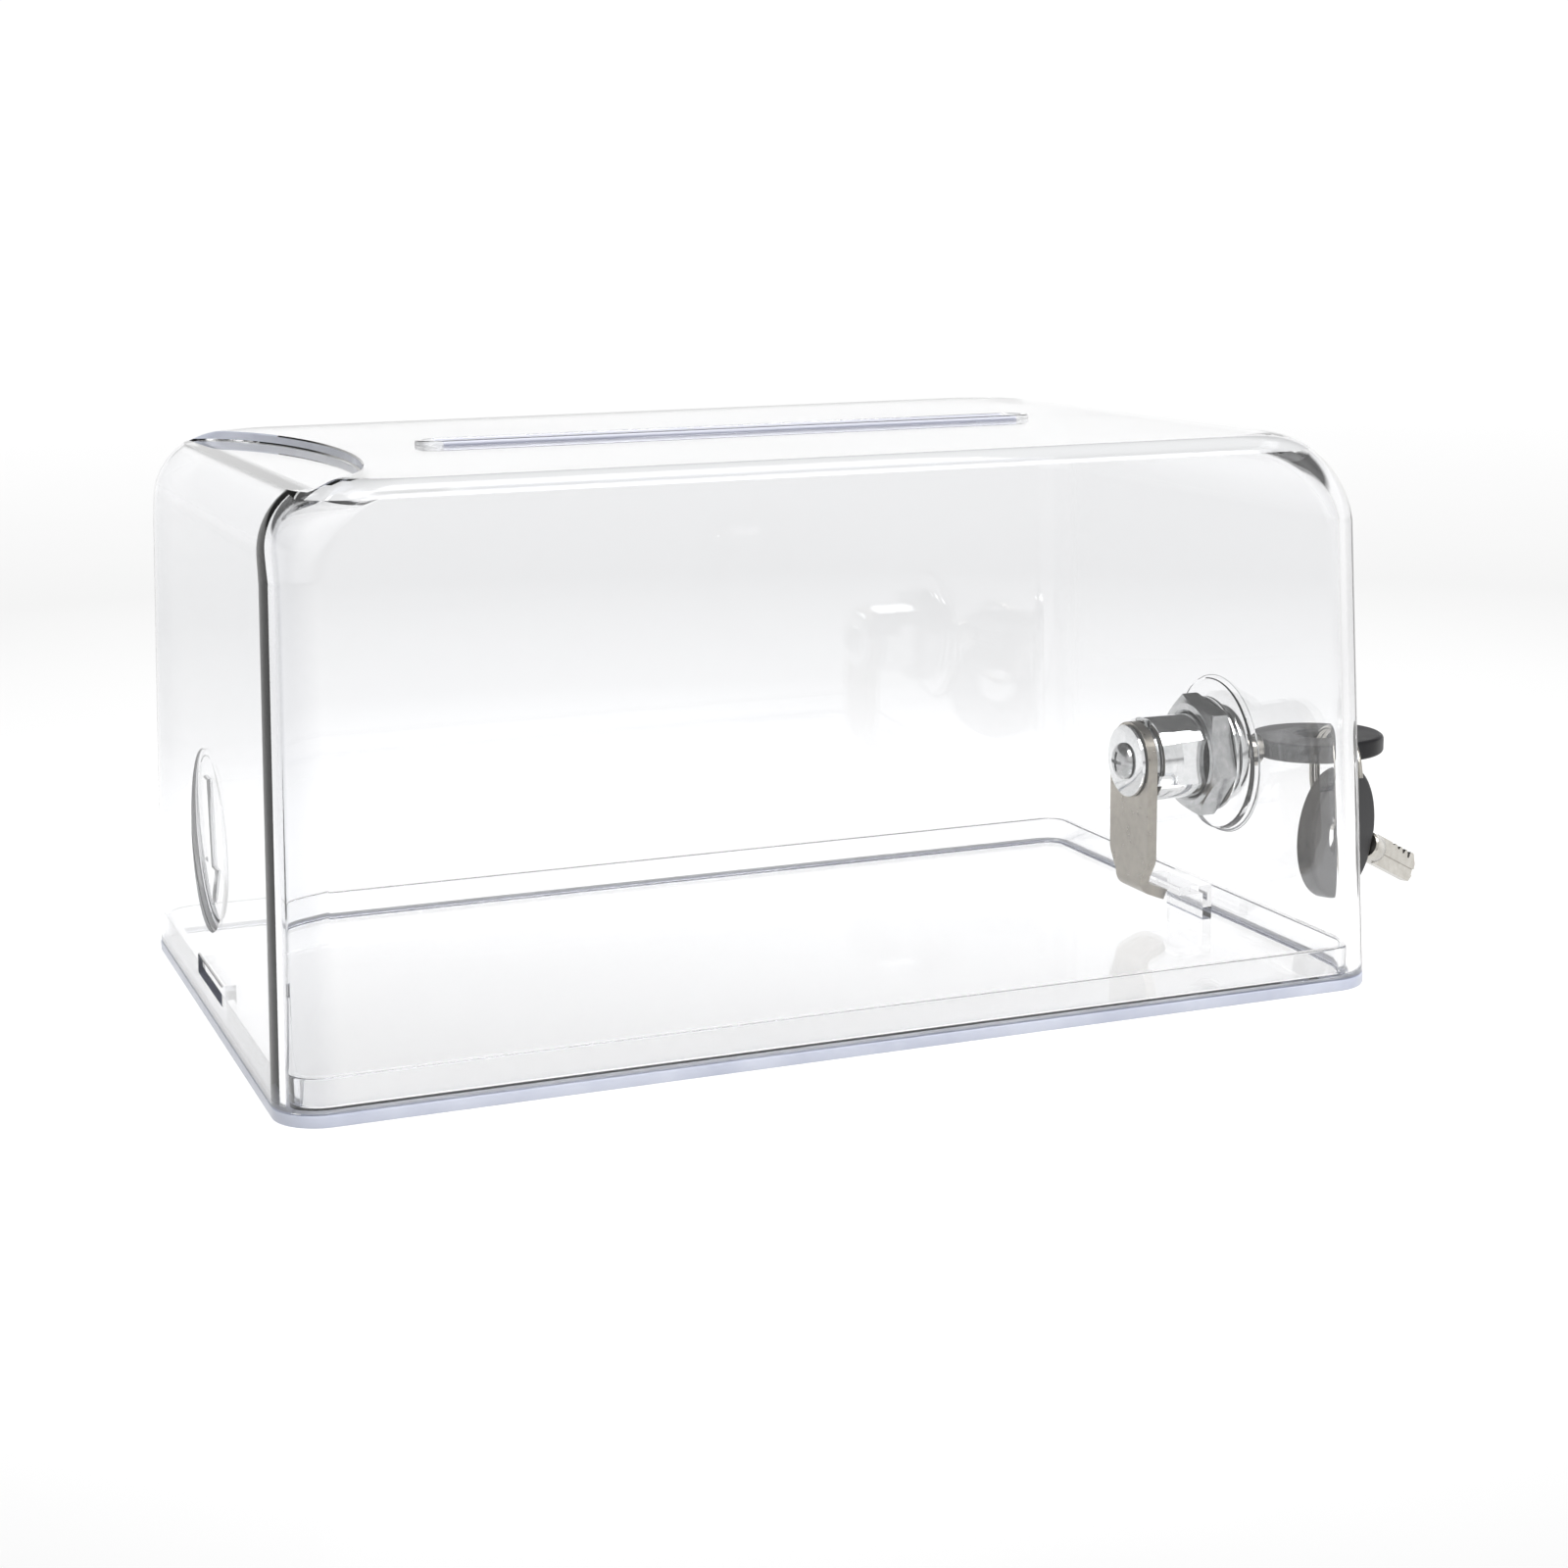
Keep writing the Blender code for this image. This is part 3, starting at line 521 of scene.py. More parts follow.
def make_cover():
    bm = bmesh.new()
    rings = {}
    for inset in (0.0, WALL):
        rings[inset] = [[bm.verts.new((x, y, z)) for x, y in outline] for outline, z in cover_levels(inset)]
        skin(bm, rings[inset], closed=False)
        bm.faces.new(rings[inset][-1])
    skin(bm, [rings[0.0][0], rings[WALL][0]], closed=False)
    cover = solid("clear_cover", bm)

    # flat pads inside the end walls, and under the scoop, keep the wall thick behind the recesses
    hook_axis = (0.0, ROUNDEL_Z)
    roundel_pad = turned("roundel_pad", [
        (ROUNDEL_X + 0.0004, 0), (ROUNDEL_X + 0.0004, ROUNDEL_R - 0.0008),
        (ROUNDEL_X + 0.0024, ROUNDEL_R - 0.0012), (ROUNDEL_X + 0.0027, ROUNDEL_R - 0.0016),
        (ROUNDEL_X + 0.0027, 0)], hook_axis)
    seat_pad = turned("seat_pad", [
        (lock_x(-0.0027), 0), (lock_x(-0.0027), SEAT_R - 0.0009), (lock_x(-0.0024), SEAT_R - 0.0005),
        (lock_x(-0.0004), SEAT_R - 0.0001), (lock_x(-0.0004), 0)])
    scoop_floor = HEIGHT - SCOOP_DEPTH
    pad_top = scoop_floor - 0.0004
    scoop_pad = prism("scoop_pad", half_oval(SCOOP_REACH + 0.0015, SCOOP_HALF, SCOOP_X + 0.0025),
                      pad_top - 0.0016, pad_top)
    # the raised rim starts inside the wall's thickness, and its top edge is eased
    rim_high = HEIGHT + RIM_RISE
    slot_rim = loft("slot_rim", [(slot_outline(SLOT_RIM), HEIGHT - WALL / 2),
                                 (slot_outline(SLOT_RIM), rim_high - 0.0005),
                                 (slot_outline(SLOT_RIM - 0.00015), rim_high - 0.00015),
                                 (slot_outline(SLOT_RIM - 0.0005), rim_high)])
    join(cover, roundel_pad, seat_pad, scoop_pad, slot_rim)

    # the openings: the scoop and the slot have eased edges, the recesses a rounded lip and floor
    scoop = loft("scoop", [(half_oval(SCOOP_REACH - 0.0004, SCOOP_HALF - 0.0004, HOOK_END_X), scoop_floor),
                           (half_oval(SCOOP_REACH, SCOOP_HALF, HOOK_END_X), scoop_floor + 0.0003),
                           (half_oval(SCOOP_REACH, SCOOP_HALF, HOOK_END_X), HEIGHT - 0.0003),
                           (half_oval(SCOOP_REACH + 0.0003, SCOOP_HALF, HOOK_END_X), HEIGHT),
                           (half_oval(SCOOP_REACH + 0.0010, SCOOP_HALF, HOOK_END_X), HEIGHT + 0.0010)])
    wall_at_roundel = HOOK_END_X + ROUNDEL_Z * DRAFT
    roundel = turned("roundel", dish(wall_at_roundel, ROUNDEL_X, ROUNDEL_R, 0.0004, 0.0003), hook_axis)
    seat = turned("seat", dish(LENGTH / 2 - LOCK_Z * DRAFT, SEAT_X, SEAT_R, 0.0004, 0.0002))
    top_inside = HEIGHT - WALL
    slot = loft("slot", [(slot_outline(0.0012), top_inside - 0.0008),
                         (slot_outline(0.0004), top_inside + 0.0001),
                         (slot_outline(), top_inside + 0.0006),
                         (slot_outline(), rim_high - 0.0005),
                         (slot_outline(0.0002), rim_high - 0.0001),
                         (slot_outline(0.0008), rim_high + 0.0006)])
    window = block("window", (HOOK_END_X - 0.002, -WINDOW_HALF, WINDOW_Z[0]),
                   (HOOK_END_X + 0.006, WINDOW_HALF, WINDOW_Z[1]))
    hole = prism("barrel_hole", barrel_outline(BARREL_R + 0.0004, BARREL_FLAT + 0.0004),
                 lock_x(-0.006), lock_x(0.004), "X")
    cut(cover, scoop, roundel, seat, slot, window, hole)

    # the arrow stands on the recess's floor, rooted 0.8 mm in the wall
    arrow = loft("arrow", [(arrow_outline(*ARROW_FOOT), ROUNDEL_X + 0.0008),
                           (arrow_outline(*ARROW_FOOT), ROUNDEL_X - 0.0003),
                           (arrow_outline(*ARROW_FACE), ROUNDEL_X - 0.0006)], "X")
    join(cover, arrow)
    even_shading(cover)
    hand_over(cover, "cover", "clear_plastic", CLEAR, "cover")
    paint_cover_edge_light(cover)


def paint_cover_edge_light(cover):
    """Paint light and shade onto the cover's edges.

    The slot's long walls get painted blue-grey shade; the scoop's wall and the lower edge get the painted
    blue-grey edge light. The slot's ends, the long top edges and the walls of the two round recesses are
    painted pale, a painted glow.
    """
    for look in (EDGE_LIGHT, ROUNDING_GLOW, SLOT_SHADE):
        cover.data.materials.append(look)
    # slots for the painted edge light, the painted pale glow and the painted slot shade
    edge, rounded, slot_shade = 1, 2, 3
    for face in cover.data.polygons:
        middle = face.center
        upright = abs(face.normal.z) < 0.6
        if middle.z > HEIGHT - FRONT_EDGE_R - 0.0002 and abs(middle.y) > SCOOP_HALF + 0.0005:
            face.material_index = rounded
        elif upright and near_slot(middle):
            face.material_index = slot_shade if abs(middle.x) < SLOT_LENGTH / 2 - SLOT_WIDTH else rounded
        elif middle.z < COVER_Z + 0.0002:
            face.material_index = edge
        elif upright and near_scoop(middle):
            face.material_index = edge
        elif abs(face.normal.x) < 0.85 and near_recess(middle):
            face.material_index = rounded


def near_slot(point):
    """True on the walls of the slot and of the rim round it."""
    reach = SLOT_RIM + 0.0002
    return (point.z > HEIGHT - WALL - 0.0002 and abs(point.y) < SLOT_WIDTH / 2 + reach
            and abs(point.x) < SLOT_LENGTH / 2 + reach)


def near_scoop(point):
    """True on the curved wall of the scoop."""
    return (point.z > HEIGHT - SCOOP_DEPTH and abs(point.y) < SCOOP_HALF + 0.0005
            and SCOOP_X < point.x < SCOOP_X + SCOOP_REACH + 0.001)


def near_recess(point):
    """True on the wall of the round recess at the hook end or of the lock's seat."""
    if point.x < 0:
        return point.x < ROUNDEL_X + 0.0004 and math.hypot(point.y, point.z - ROUNDEL_Z) < ROUNDEL_R + 0.001
    return point.x > SEAT_X - 0.0004 and math.hypot(point.y - LOCK_Y, point.z - LOCK_Z) < SEAT_R + 0.001


# ---- base tray -------------------------------------------------------------------------------------
def make_tray():
    lip_in = LIP_INSET + LIP_T
    fillet = 0.0006
    levels = [(0.0, 0.0005), (0.00015, 0.00015), (0.0005, 0.0), (BASE_T - 0.0005, 0.0),
              (BASE_T - 0.00015, 0.00015), (BASE_T, 0.0005), (BASE_T, LIP_INSET)]
    levels += [(LIP_TOP - 0.0003, LIP_INSET), (LIP_TOP - 0.0001, LIP_INSET + 0.0001),
               (LIP_TOP, LIP_INSET + 0.0003), (LIP_TOP, lip_in - 0.0003),
               (LIP_TOP - 0.0001, lip_in - 0.0001), (LIP_TOP - 0.0003, lip_in)]
    levels += [(BASE_T + fillet * (1 - math.sin(a)), lip_in + fillet * (1 - math.cos(a)))
               for a in [math.radians(22.5 * k) for k in range(5)]]
    bm = bmesh.new()
    rings = [[bm.verts.new((x, y, z)) for x, y in
              level_ring(inset - LENGTH / 2, LENGTH / 2 - inset, DEPTH / 2 - inset, CORNER_R - inset)]
             for z, inset in levels]
    skin(bm, rings, closed=False)
    bm.faces.new(rings[0])
    bm.faces.new(rings[-1])
    tray = solid("clear_base_tray", bm)

    # the hook tongue and the keeper, both rooted 1 mm in the tray's floor
    left, root = HOOK_END_X, BASE_T - 0.001
    tongue = prism("tongue", [(left + LIP_INSET, root), (left + LIP_INSET, 0.0089),
                              (left + 0.0010, 0.0093), (left + 0.0010, 0.0106), (left + 0.0028, 0.0114),
                              (left + 0.0058, 0.0114), (left + 0.0058, root)], -0.012, 0.012, "Y")
    lip_edge = cam_high.x + KEEPER_CLEAR
    post = SEAT_X - 0.0067
    keeper = prism("keeper", [(post - 0.0022, root), (post, root), (post, 0.0104),
                              (lip_edge, 0.0104), (lip_edge, 0.0086), (post - 0.0022, 0.0086)],
                   LOCK_Y - 0.008, LOCK_Y + 0.008, "Y")
    join(tray, tongue, keeper)
    even_shading(tray)
    hand_over(tray, "base", "clear_plastic", CLEAR_TRAY, "base_tray")
    paint_rim_light(tray)


def paint_rim_light(tray):
    """The tray's flange, outside its lip, is painted with the blue-grey edge light: painted light for the
    violet-blue of the whole sheet behind it.
    """
    tray.data.materials.append(EDGE_LIGHT)
    for face in tray.data.polygons:
        middle = face.center
        rim = 0.0002 < middle.z < BASE_T + GAP
        if rim and (abs(middle.x) > LENGTH / 2 - LIP_INSET or abs(middle.y) > DEPTH / 2 - LIP_INSET):
            face.material_index = 1


# ---- lock ------------------------------------------------------------------------------------------
def make_housing():
    """Barrel with two flats, a domed flange outside the wall and two stop lugs at its inner end."""
    bore = PLUG_R + GAP
    housing = turned("lock_barrel", [
        (lock_x(BARREL_END), bore), (lock_x(BARREL_END), BARREL_R - 0.0005),
        (lock_x(BARREL_END) + 0.00015, BARREL_R - 0.00015), (lock_x(BARREL_END) + 0.0005, BARREL_R),
        (lock_x(GAP), BARREL_R), (lock_x(GAP), 0.0106), (lock_x(GAP) + 0.0001, 0.0109),
        (lock_x(0.0009), 0.0110), (lock_x(0.0015), 0.01095), (lock_x(0.0021), 0.0107),
        (lock_x(0.0026), 0.0103), (lock_x(FLANGE_OUT), 0.0098),
        (lock_x(FLANGE_OUT), PLUG_HEAD_R + GAP + 0.0002),
        (lock_x(0.0027), PLUG_HEAD_R + GAP), (lock_x(0.0009), PLUG_HEAD_R + GAP), (lock_x(0.0009), bore)])
    flats = []
    for side in (-1, 1):
        low, high = sorted((LOCK_Y + side * BARREL_FLAT, LOCK_Y + side * 0.012))
        flats.append(block(f"flat_{side + 2}", (lock_x(FLAT_END), low, LOCK_Z - 0.012),
                           (lock_x(0.0002), high, LOCK_Z + 0.012)))
    cut(housing, *flats)
    lugs = []
    for k, start in enumerate((60, 194)):
        lug = arc(0, 0, 0.0092, start, start + 16, 8) + arc(0, 0, 0.0081, start + 16, start, 8)
        lugs.append(prism(f"lug_{k + 1}", [(y + LOCK_Y, z + LOCK_Z) for y, z in lug],
                          lock_x(-0.0208), lock_x(BARREL_END) + 0.001, "X"))
    join(housing, *lugs)
    round_edges(housing, 0.00012, 2)
    hand_over(housing, "cover", "lock_chrome", CHROME, "lock_housing")


def make_nut():
    """Hexagon nut with turned corners and a bevelled bore, and the round washer under it."""
    hole = BARREL_R + GAP
    brim = NUT_CORNER + 0.0003
    hexagon = [(NUT_CORNER * math.cos(a) + LOCK_Y, NUT_CORNER * math.sin(a) + LOCK_Z)
               for a in [math.radians(60 * k + 12) for k in range(6)]]
    nut = prism("hexagon_nut", hexagon, nut_low.x, nut_high.x, "X")
    inner, outer = nut_low.x, nut_high.x
    chamfers = turned("chamfers", [
        (inner - 0.001, NUT_CORNER - 0.0040), (inner - 0.001, 0.020), (outer + 0.001, 0.020),
        (outer + 0.001, NUT_CORNER - 0.0012), (outer - 0.0006, brim), (inner + 0.0014, brim)])
    thread = turned("thread", [
        (inner - 0.001, 0), (inner - 0.001, hole + 0.0016), (inner + 0.0006, hole), (outer - 0.0006, hole),
        (outer + 0.001, hole + 0.0016), (outer + 0.001, 0)])
    cut(nut, chamfers, thread)
    round_edges(nut, 0.00025, 3, 20)
    hand_over(nut, "cover", "nut_steel", NUT_STEEL, "mounting_nut")

    low, high = washer_low.x, washer_high.x
    washer = turned("round_washer", [
        (low, hole), (low, WASHER_R - 0.0003), (low + 0.0001, WASHER_R - 0.0001),
        (low + 0.0003, WASHER_R), (high - 0.0003, WASHER_R), (high - 0.0001, WASHER_R - 0.0001),
        (high, WASHER_R - 0.0003), (high, hole)])
    hand_over(washer, "cover", "nut_steel", CHROME, "nut_washer")


def square_hole(name, low, high):
    """A cutter for the square hole that fits over the plug's end."""
    half = TANG + GAP
    return block(name, (low, LOCK_Y - half, LOCK_Z - half), (high, LOCK_Y + half, LOCK_Z + half))


def make_plug():
    """The turning core, with a square end for the cam, a keyway, a screw hole and slots for the wafers."""
    end = cam_low.x - 0.0002
    base = lock_x(BARREL_END) - 0.0001
    plug = turned("key_plug", [
        (base, 0), (base, PLUG_R - 0.0003), (base + 0.0003, PLUG_R), (lock_x(0.0012), PLUG_R),
        (lock_x(0.0012), PLUG_HEAD_R), (lock_x(0.0027), PLUG_HEAD_R), (lock_x(0.0030), PLUG_HEAD_R - 0.0001),
        (lock_x(0.0032), PLUG_HEAD_R - 0.0004), (lock_x(0.0032), PLUG_HEAD_R - 0.0014),
        (lock_x(0.0029), PLUG_HEAD_R - 0.0018), (lock_x(0.0029), 0)])
    join(plug, block("tang", (end, LOCK_Y - TANG, LOCK_Z - TANG),
                     (lock_x(BARREL_END) + 0.001, LOCK_Y + TANG, LOCK_Z + TANG)))
    keyway = block("keyway",
                   (lock_x(KEY_TIP) - 0.0005, LOCK_Y - BLADE_HALF - GAP, LOCK_Z - BLADE_T / 2 - GAP),
                   (lock_x(0.006), LOCK_Y + BLADE_HALF + GAP, LOCK_Z + BLADE_T / 2 + GAP))
    screw_hole = turned("screw_hole", [
        (end - 0.001, 0), (end - 0.001, 0.0021), (lock_x(-0.0170), 0.0021), (lock_x(-0.0170), 0)])
    openings = [keyway, screw_hole]
    for k in range(WAFER_COUNT):
        x = lock_x(WAFER_FIRST + k * WAFER_PITCH)
        openings.append(block(f"wafer_slot_{k + 1}",
                              (x - 0.0004 - WAFER_T / 2, LOCK_Y - 0.008, LOCK_Z - 0.0040),
                              (x + 0.0004 + WAFER_T / 2, LOCK_Y + 0.008, LOCK_Z + 0.0040)))
    cut(plug, *openings)
    round_edges(plug, 0.0001, 2)
    hand_over(plug, "plug", "lock_chrome", CHROME, "plug")


def make_cam():
    """One plate, rounded at the top, narrowed and bent outwards at the foot; a round washer and a screw."""
    low, high = cam_low.x, lock_x(CAM_FACE)
    thick = high - low
    bend_z = LOCK_Z - CAM_REACH + 0.0004
    # the middle of the plate's face away from the wall, as (x, z, direction in degrees), down to the tip
    drop = LOCK_Z - bend_z
    down = 270.0
    path = [(low, LOCK_Z - drop * k / 24, down) for k in range(25)]
    turn = 90 - CAM_SLOPE
    steps = 12
    for k in range(1, steps + 1):
        a = math.radians(180 + turn * k / steps)
        path.append((high + CAM_BEND_R + (CAM_BEND_R + thick) * math.cos(a),
                     bend_z + (CAM_BEND_R + thick) * math.sin(a), down + turn * k / steps))
    way = math.radians(path[-1][2])
    # the end is cut square to the sloping plate, so its upper corner is the one that reaches furthest
    overhang = thick * math.cos(way + math.pi / 2)
    tip_run = (cam_high.x - overhang - path[-1][0]) / math.cos(way)
    start_x, start_z = path[-1][0], path[-1][1]
    for k in range(1, steps + 1):
        along = tip_run * k / steps
        path.append((start_x + along * math.cos(way), start_z + along * math.sin(way), path[-1][2]))
    lengths = [0.0]
    for (x0, z0, _), (x1, z1, _) in zip(path, path[1:]):
        lengths.append(lengths[-1] + math.hypot(x1 - x0, z1 - z0))
    total = lengths[-1]

    def half_width(s):
        """Half the plate's width at a distance down its path."""
        shoulder = drop - CAM_NECK[0]
        if s < shoulder:
            return CAM_HALF
        narrowing = min(1.0, (s - shoulder) / CAM_NECK[1])
        width = CAM_HALF + (FOOT_HALF_WIDTH - CAM_HALF) * narrowing
        from_tip = total - s
        if from_tip < CAM_TIP_R:
            width -= CAM_TIP_R - math.sqrt(max(0.0, CAM_TIP_R ** 2 - (CAM_TIP_R - from_tip) ** 2))
        return width

    bm = bmesh.new()
    sections = []
    for k in range(16):
        a = math.radians(90 * (1 - k / 16))
        sections.append((low, LOCK_Z + CAM_HALF * math.sin(a), down, max(CAM_HALF * math.cos(a), 0.0004)))
    sections += [(x, z, way_deg, half_width(s)) for (x, z, way_deg), s in zip(path, lengths)]
    rings = []
    for x, z, way_deg, width in sections:
        normal = math.radians(way_deg + 90)
        inner_x, inner_z = x + thick * math.cos(normal), z + thick * math.sin(normal)
        rings.append([bm.verts.new((px, LOCK_Y + py, pz)) for px, py, pz in
                      ((x, -width, z), (x, width, z), (inner_x, width, inner_z), (inner_x, -width, inner_z))])
    skin(bm, rings, closed=False)
    bm.faces.new(rings[0])
    bm.faces.new(rings[-1])
    cam = solid("bent_cam", bm, 35)
    cut(cam, square_hole("cam_square", low - 0.001, high + 0.001))
    round_edges(cam, 0.00022, 2, 50)
    hand_over(cam, "plug", "cam_nickel", NICKEL, "cam")

    low, high = lock_x(-0.0245), lock_x(-0.0237)
    washer = turned("cam_disc", [
        (low, 0.0022), (low, 0.0077), (low + 0.0001, 0.0079), (low + 0.0003, 0.0080),
        (high - 0.0001, 0.0080), (high, 0.0079), (high, 0.0022)])
    hand_over(washer, "plug", "lock_chrome", CHROME, "cam_washer")

    low, high = lock_x(-0.0270), lock_x(-0.0248)
    dome = [(high - 0.0022 * math.cos(a), 0.0041 * math.sin(a)) for a in
            [math.radians(6 * k) for k in range(1, 16)]]
    shank = [(high, 0.0018), (lock_x(-0.0176), 0.0018), (lock_x(-0.0172), 0.0014), (lock_x(-0.0172), 0)]
    screw = turned("cross_screw", [(low, 0)] + dome + shank, segments=SMALL_ROUND)
    arms = [block(f"cross_{name}", (low - 0.001, LOCK_Y - half_y, LOCK_Z - half_z),
                  (low + 0.0011, LOCK_Y + half_y, LOCK_Z + half_z))
            for name, half_y, half_z in (("y", 0.0022, 0.00042), ("z", 0.00042, 0.0022))]
    cut(screw, *arms)
    round_edges(screw, 0.0001, 2)
    hand_over(screw, "plug", "nut_steel", NUT_STEEL, "cam_screw")


# ---- keys and ring ---------------------------------------------------------------------------------
def head_outline(inset=0.0):
    """Key head in plan from its neck: an oval, cut straight where it meets the collar."""
    start = math.pi - math.asin(HEAD_NECK / HEAD_HALF)
    half_length = HEAD_LENGTH / (1 - math.cos(start))
    angles = [start - 2 * start * k / HEAD_STEPS for k in range(HEAD_STEPS + 1)]
    return [((half_length - inset) * math.cos(a) - half_length * math.cos(start),
             (HEAD_HALF - inset) * math.sin(a)) for a in angles]


def make_key(prefix, body, place):
    """A key lying along X with its blade inwards, then moved by place."""
    tip, collar = lock_x(KEY_TIP), (lock_x(COLLAR[0]), lock_x(COLLAR[1]))
    head_x = lock_x(HEAD_START)
    point = [(tip + 0.0018, -BLADE_HALF), (tip, -0.0012), (tip, 0.0012), (tip + 0.0018, BLADE_HALF)]
    edge = []
    for k in range(WAFER_COUNT):
        x = lock_x(WAFER_FIRST + k * WAFER_PITCH)
        depth = BLADE_HALF - 0.0004 * (1 + (k * 3) % 4)
        edge += [(x - 0.0010, BLADE_HALF), (x - 0.0004, depth), (x + 0.0004, depth), (x + 0.0010, BLADE_HALF)]
    edge = [p for p in edge if p[0] > tip + 0.0019]
    root = [(collar[0] + 0.0010, BLADE_HALF), (collar[0] + 0.0010, -BLADE_HALF)]
    blade = prism(prefix + "blade", [(x, y + LOCK_Y) for x, y in point + edge + root],
                  LOCK_Z - BLADE_T / 2, LOCK_Z + BLADE_T / 2)
    # a groove milled along each side of the blade
    grooves = []
    for side in (-1, 1):
        face_z = LOCK_Z + side * (BLADE_T / 2)
        grooves.append(block(f"groove_{side + 2}", (tip - 0.001, LOCK_Y - 0.0016, face_z - 0.0004),
                             (collar[0] - 0.0015, LOCK_Y - 0.0002, face_z + 0.0004)))
    cut(blade, *grooves)
    boss = turned(prefix + "boss", [
        (collar[0], 0), (collar[0], COLLAR_R - 0.0006), (collar[0] + 0.0002, COLLAR_R - 0.0002),
        (collar[0] + 0.0006, COLLAR_R), (collar[1] - 0.0004, COLLAR_R), (collar[1], COLLAR_R - 0.0004),
        (collar[1], 0)], segments=SMALL_ROUND)
    join(blade, boss)
    round_edges(blade, 0.00012, 2)

    # the head is crowned: its faces step in as they rise
    crown = [(0.0013, -1.0), (0.0006, -0.94), (0.0002, -0.80), (0.0, -0.60), (0.0, 0.60), (0.0002, 0.80),
             (0.0006, 0.94), (0.0013, 1.0)]
    head = loft(prefix + "head", [([(x + head_x, y + LOCK_Y) for x, y in head_outline(inset)],
                                   LOCK_Z + share * HEAD_T / 2) for inset, share in crown])
    hole_levels = [(HOLE_R + 0.0012, -0.0027), (HOLE_R, -0.0015), (HOLE_R, 0.0015), (HOLE_R + 0.0012, 0.0027)]
    hole = loft(prefix + "hole", [(circle(head_x + HOLE_U, LOCK_Y, radius, HOLE_STEPS), LOCK_Z + rise)
                                  for radius, rise in hole_levels])
    cut(head, hole)
    even_shading(head)
    for obj in (blade, head):
        obj.matrix_world = place
    hand_over(blade, body, "key_nickel", KEY_NICKEL, prefix + "key_blade")
    hand_over(head, body, "key_plastic", BLACK, prefix + "key_head")


def ring_frame():
    """The ring's centre, its normal, and the level direction in its plane."""
    along = Vector((math.sin(RING_TURN), math.cos(RING_TURN), 0.0))
    normal = Vector((math.cos(RING_TURN), -math.sin(RING_TURN), 0.0))
    hole = Vector((lock_x(HEAD_START + HOLE_U), LOCK_Y, LOCK_Z))
    span = math.sqrt(RING_R ** 2 - RING_DROP ** 2)
    return hole - along * span - Vector((0, 0, RING_DROP)), normal, along


def make_ring():
    """Split ring: two turns of wire side by side, with a short step from one to the other."""
    centre, normal, along = ring_frame()
    up = Vector((0, 0, 1))
    # angles round the ring: the step from one turn to the other, and the room left at each end of the wire
    step, room = math.radians(50), 0.06
    start, end = step / 2 + room, 4 * math.pi - step / 2 - room
    ends_at = math.radians(200)
    bm = bmesh.new()
    rings = []
    for k in range(RING_STEPS + 1):
        a = start + (end - start) * k / RING_STEPS
        t = min(1.0, max(0.0, (a - 2 * math.pi + step / 2) / step))
        side = RING_PITCH * (t * t * (3 - 2 * t) - 0.5)
        turn = a + ends_at
        out = math.cos(turn) * along + math.sin(turn) * up
        point = centre + RING_R * out + side * normal
        rings.append([bm.verts.new(point + WIRE_R * (math.cos(b) * out + math.sin(b) * normal))
                      for b in [2 * math.pi * j / WIRE_SIDES for j in range(WIRE_SIDES)]])
    skin(bm, rings, closed=False)
    bm.faces.new(rings[0])
    bm.faces.new(rings[-1])
    ring = solid("split_ring", bm, 60)
    hand_over(ring, "key_ring", "key_nickel", KEY_NICKEL, "key_ring")


def spare_place():
    """Where the spare key hangs: upright, on the ring's lowest point, its blade outwards and down."""
    wire = ring_frame()[0] - Vector((0, 0, RING_R))
    level = math.cos(SPARE_DIP)
    blade_way = Vector((level * math.cos(SPARE_TURN), level * math.sin(SPARE_TURN), -math.sin(SPARE_DIP)))
    face = Vector((-math.sin(SPARE_TURN), math.cos(SPARE_TURN), 0))
    width = face.cross(-blade_way)
    turn = Matrix((-blade_way, width, face)).transposed().to_4x4()
    hole = Vector((lock_x(HEAD_START + HOLE_U), LOCK_Y, LOCK_Z))
    return Matrix.Translation(wire - Vector((0, 0, SPARE_HANG))) @ turn @ Matrix.Translation(-hole)


# ---- CAD nodes that stay: the pieces held inside the lock ------------------------------------------
def finish_inner_nodes():
    # a spring's name also starts with wafer, so the springs come first
    inside = (("wafer_spring", SPRING, "spring_steel"), ("wafer", BRASS, "wafer_brass"),
              ("stop_washer", NUT_STEEL, "nut_steel"))
    for name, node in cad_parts.items():
        if node.hide_render:
            continue
        for start, look, slot in inside:
            if name.startswith(start):
                node.data.materials.clear()
                node.data.materials.append(look)
                break


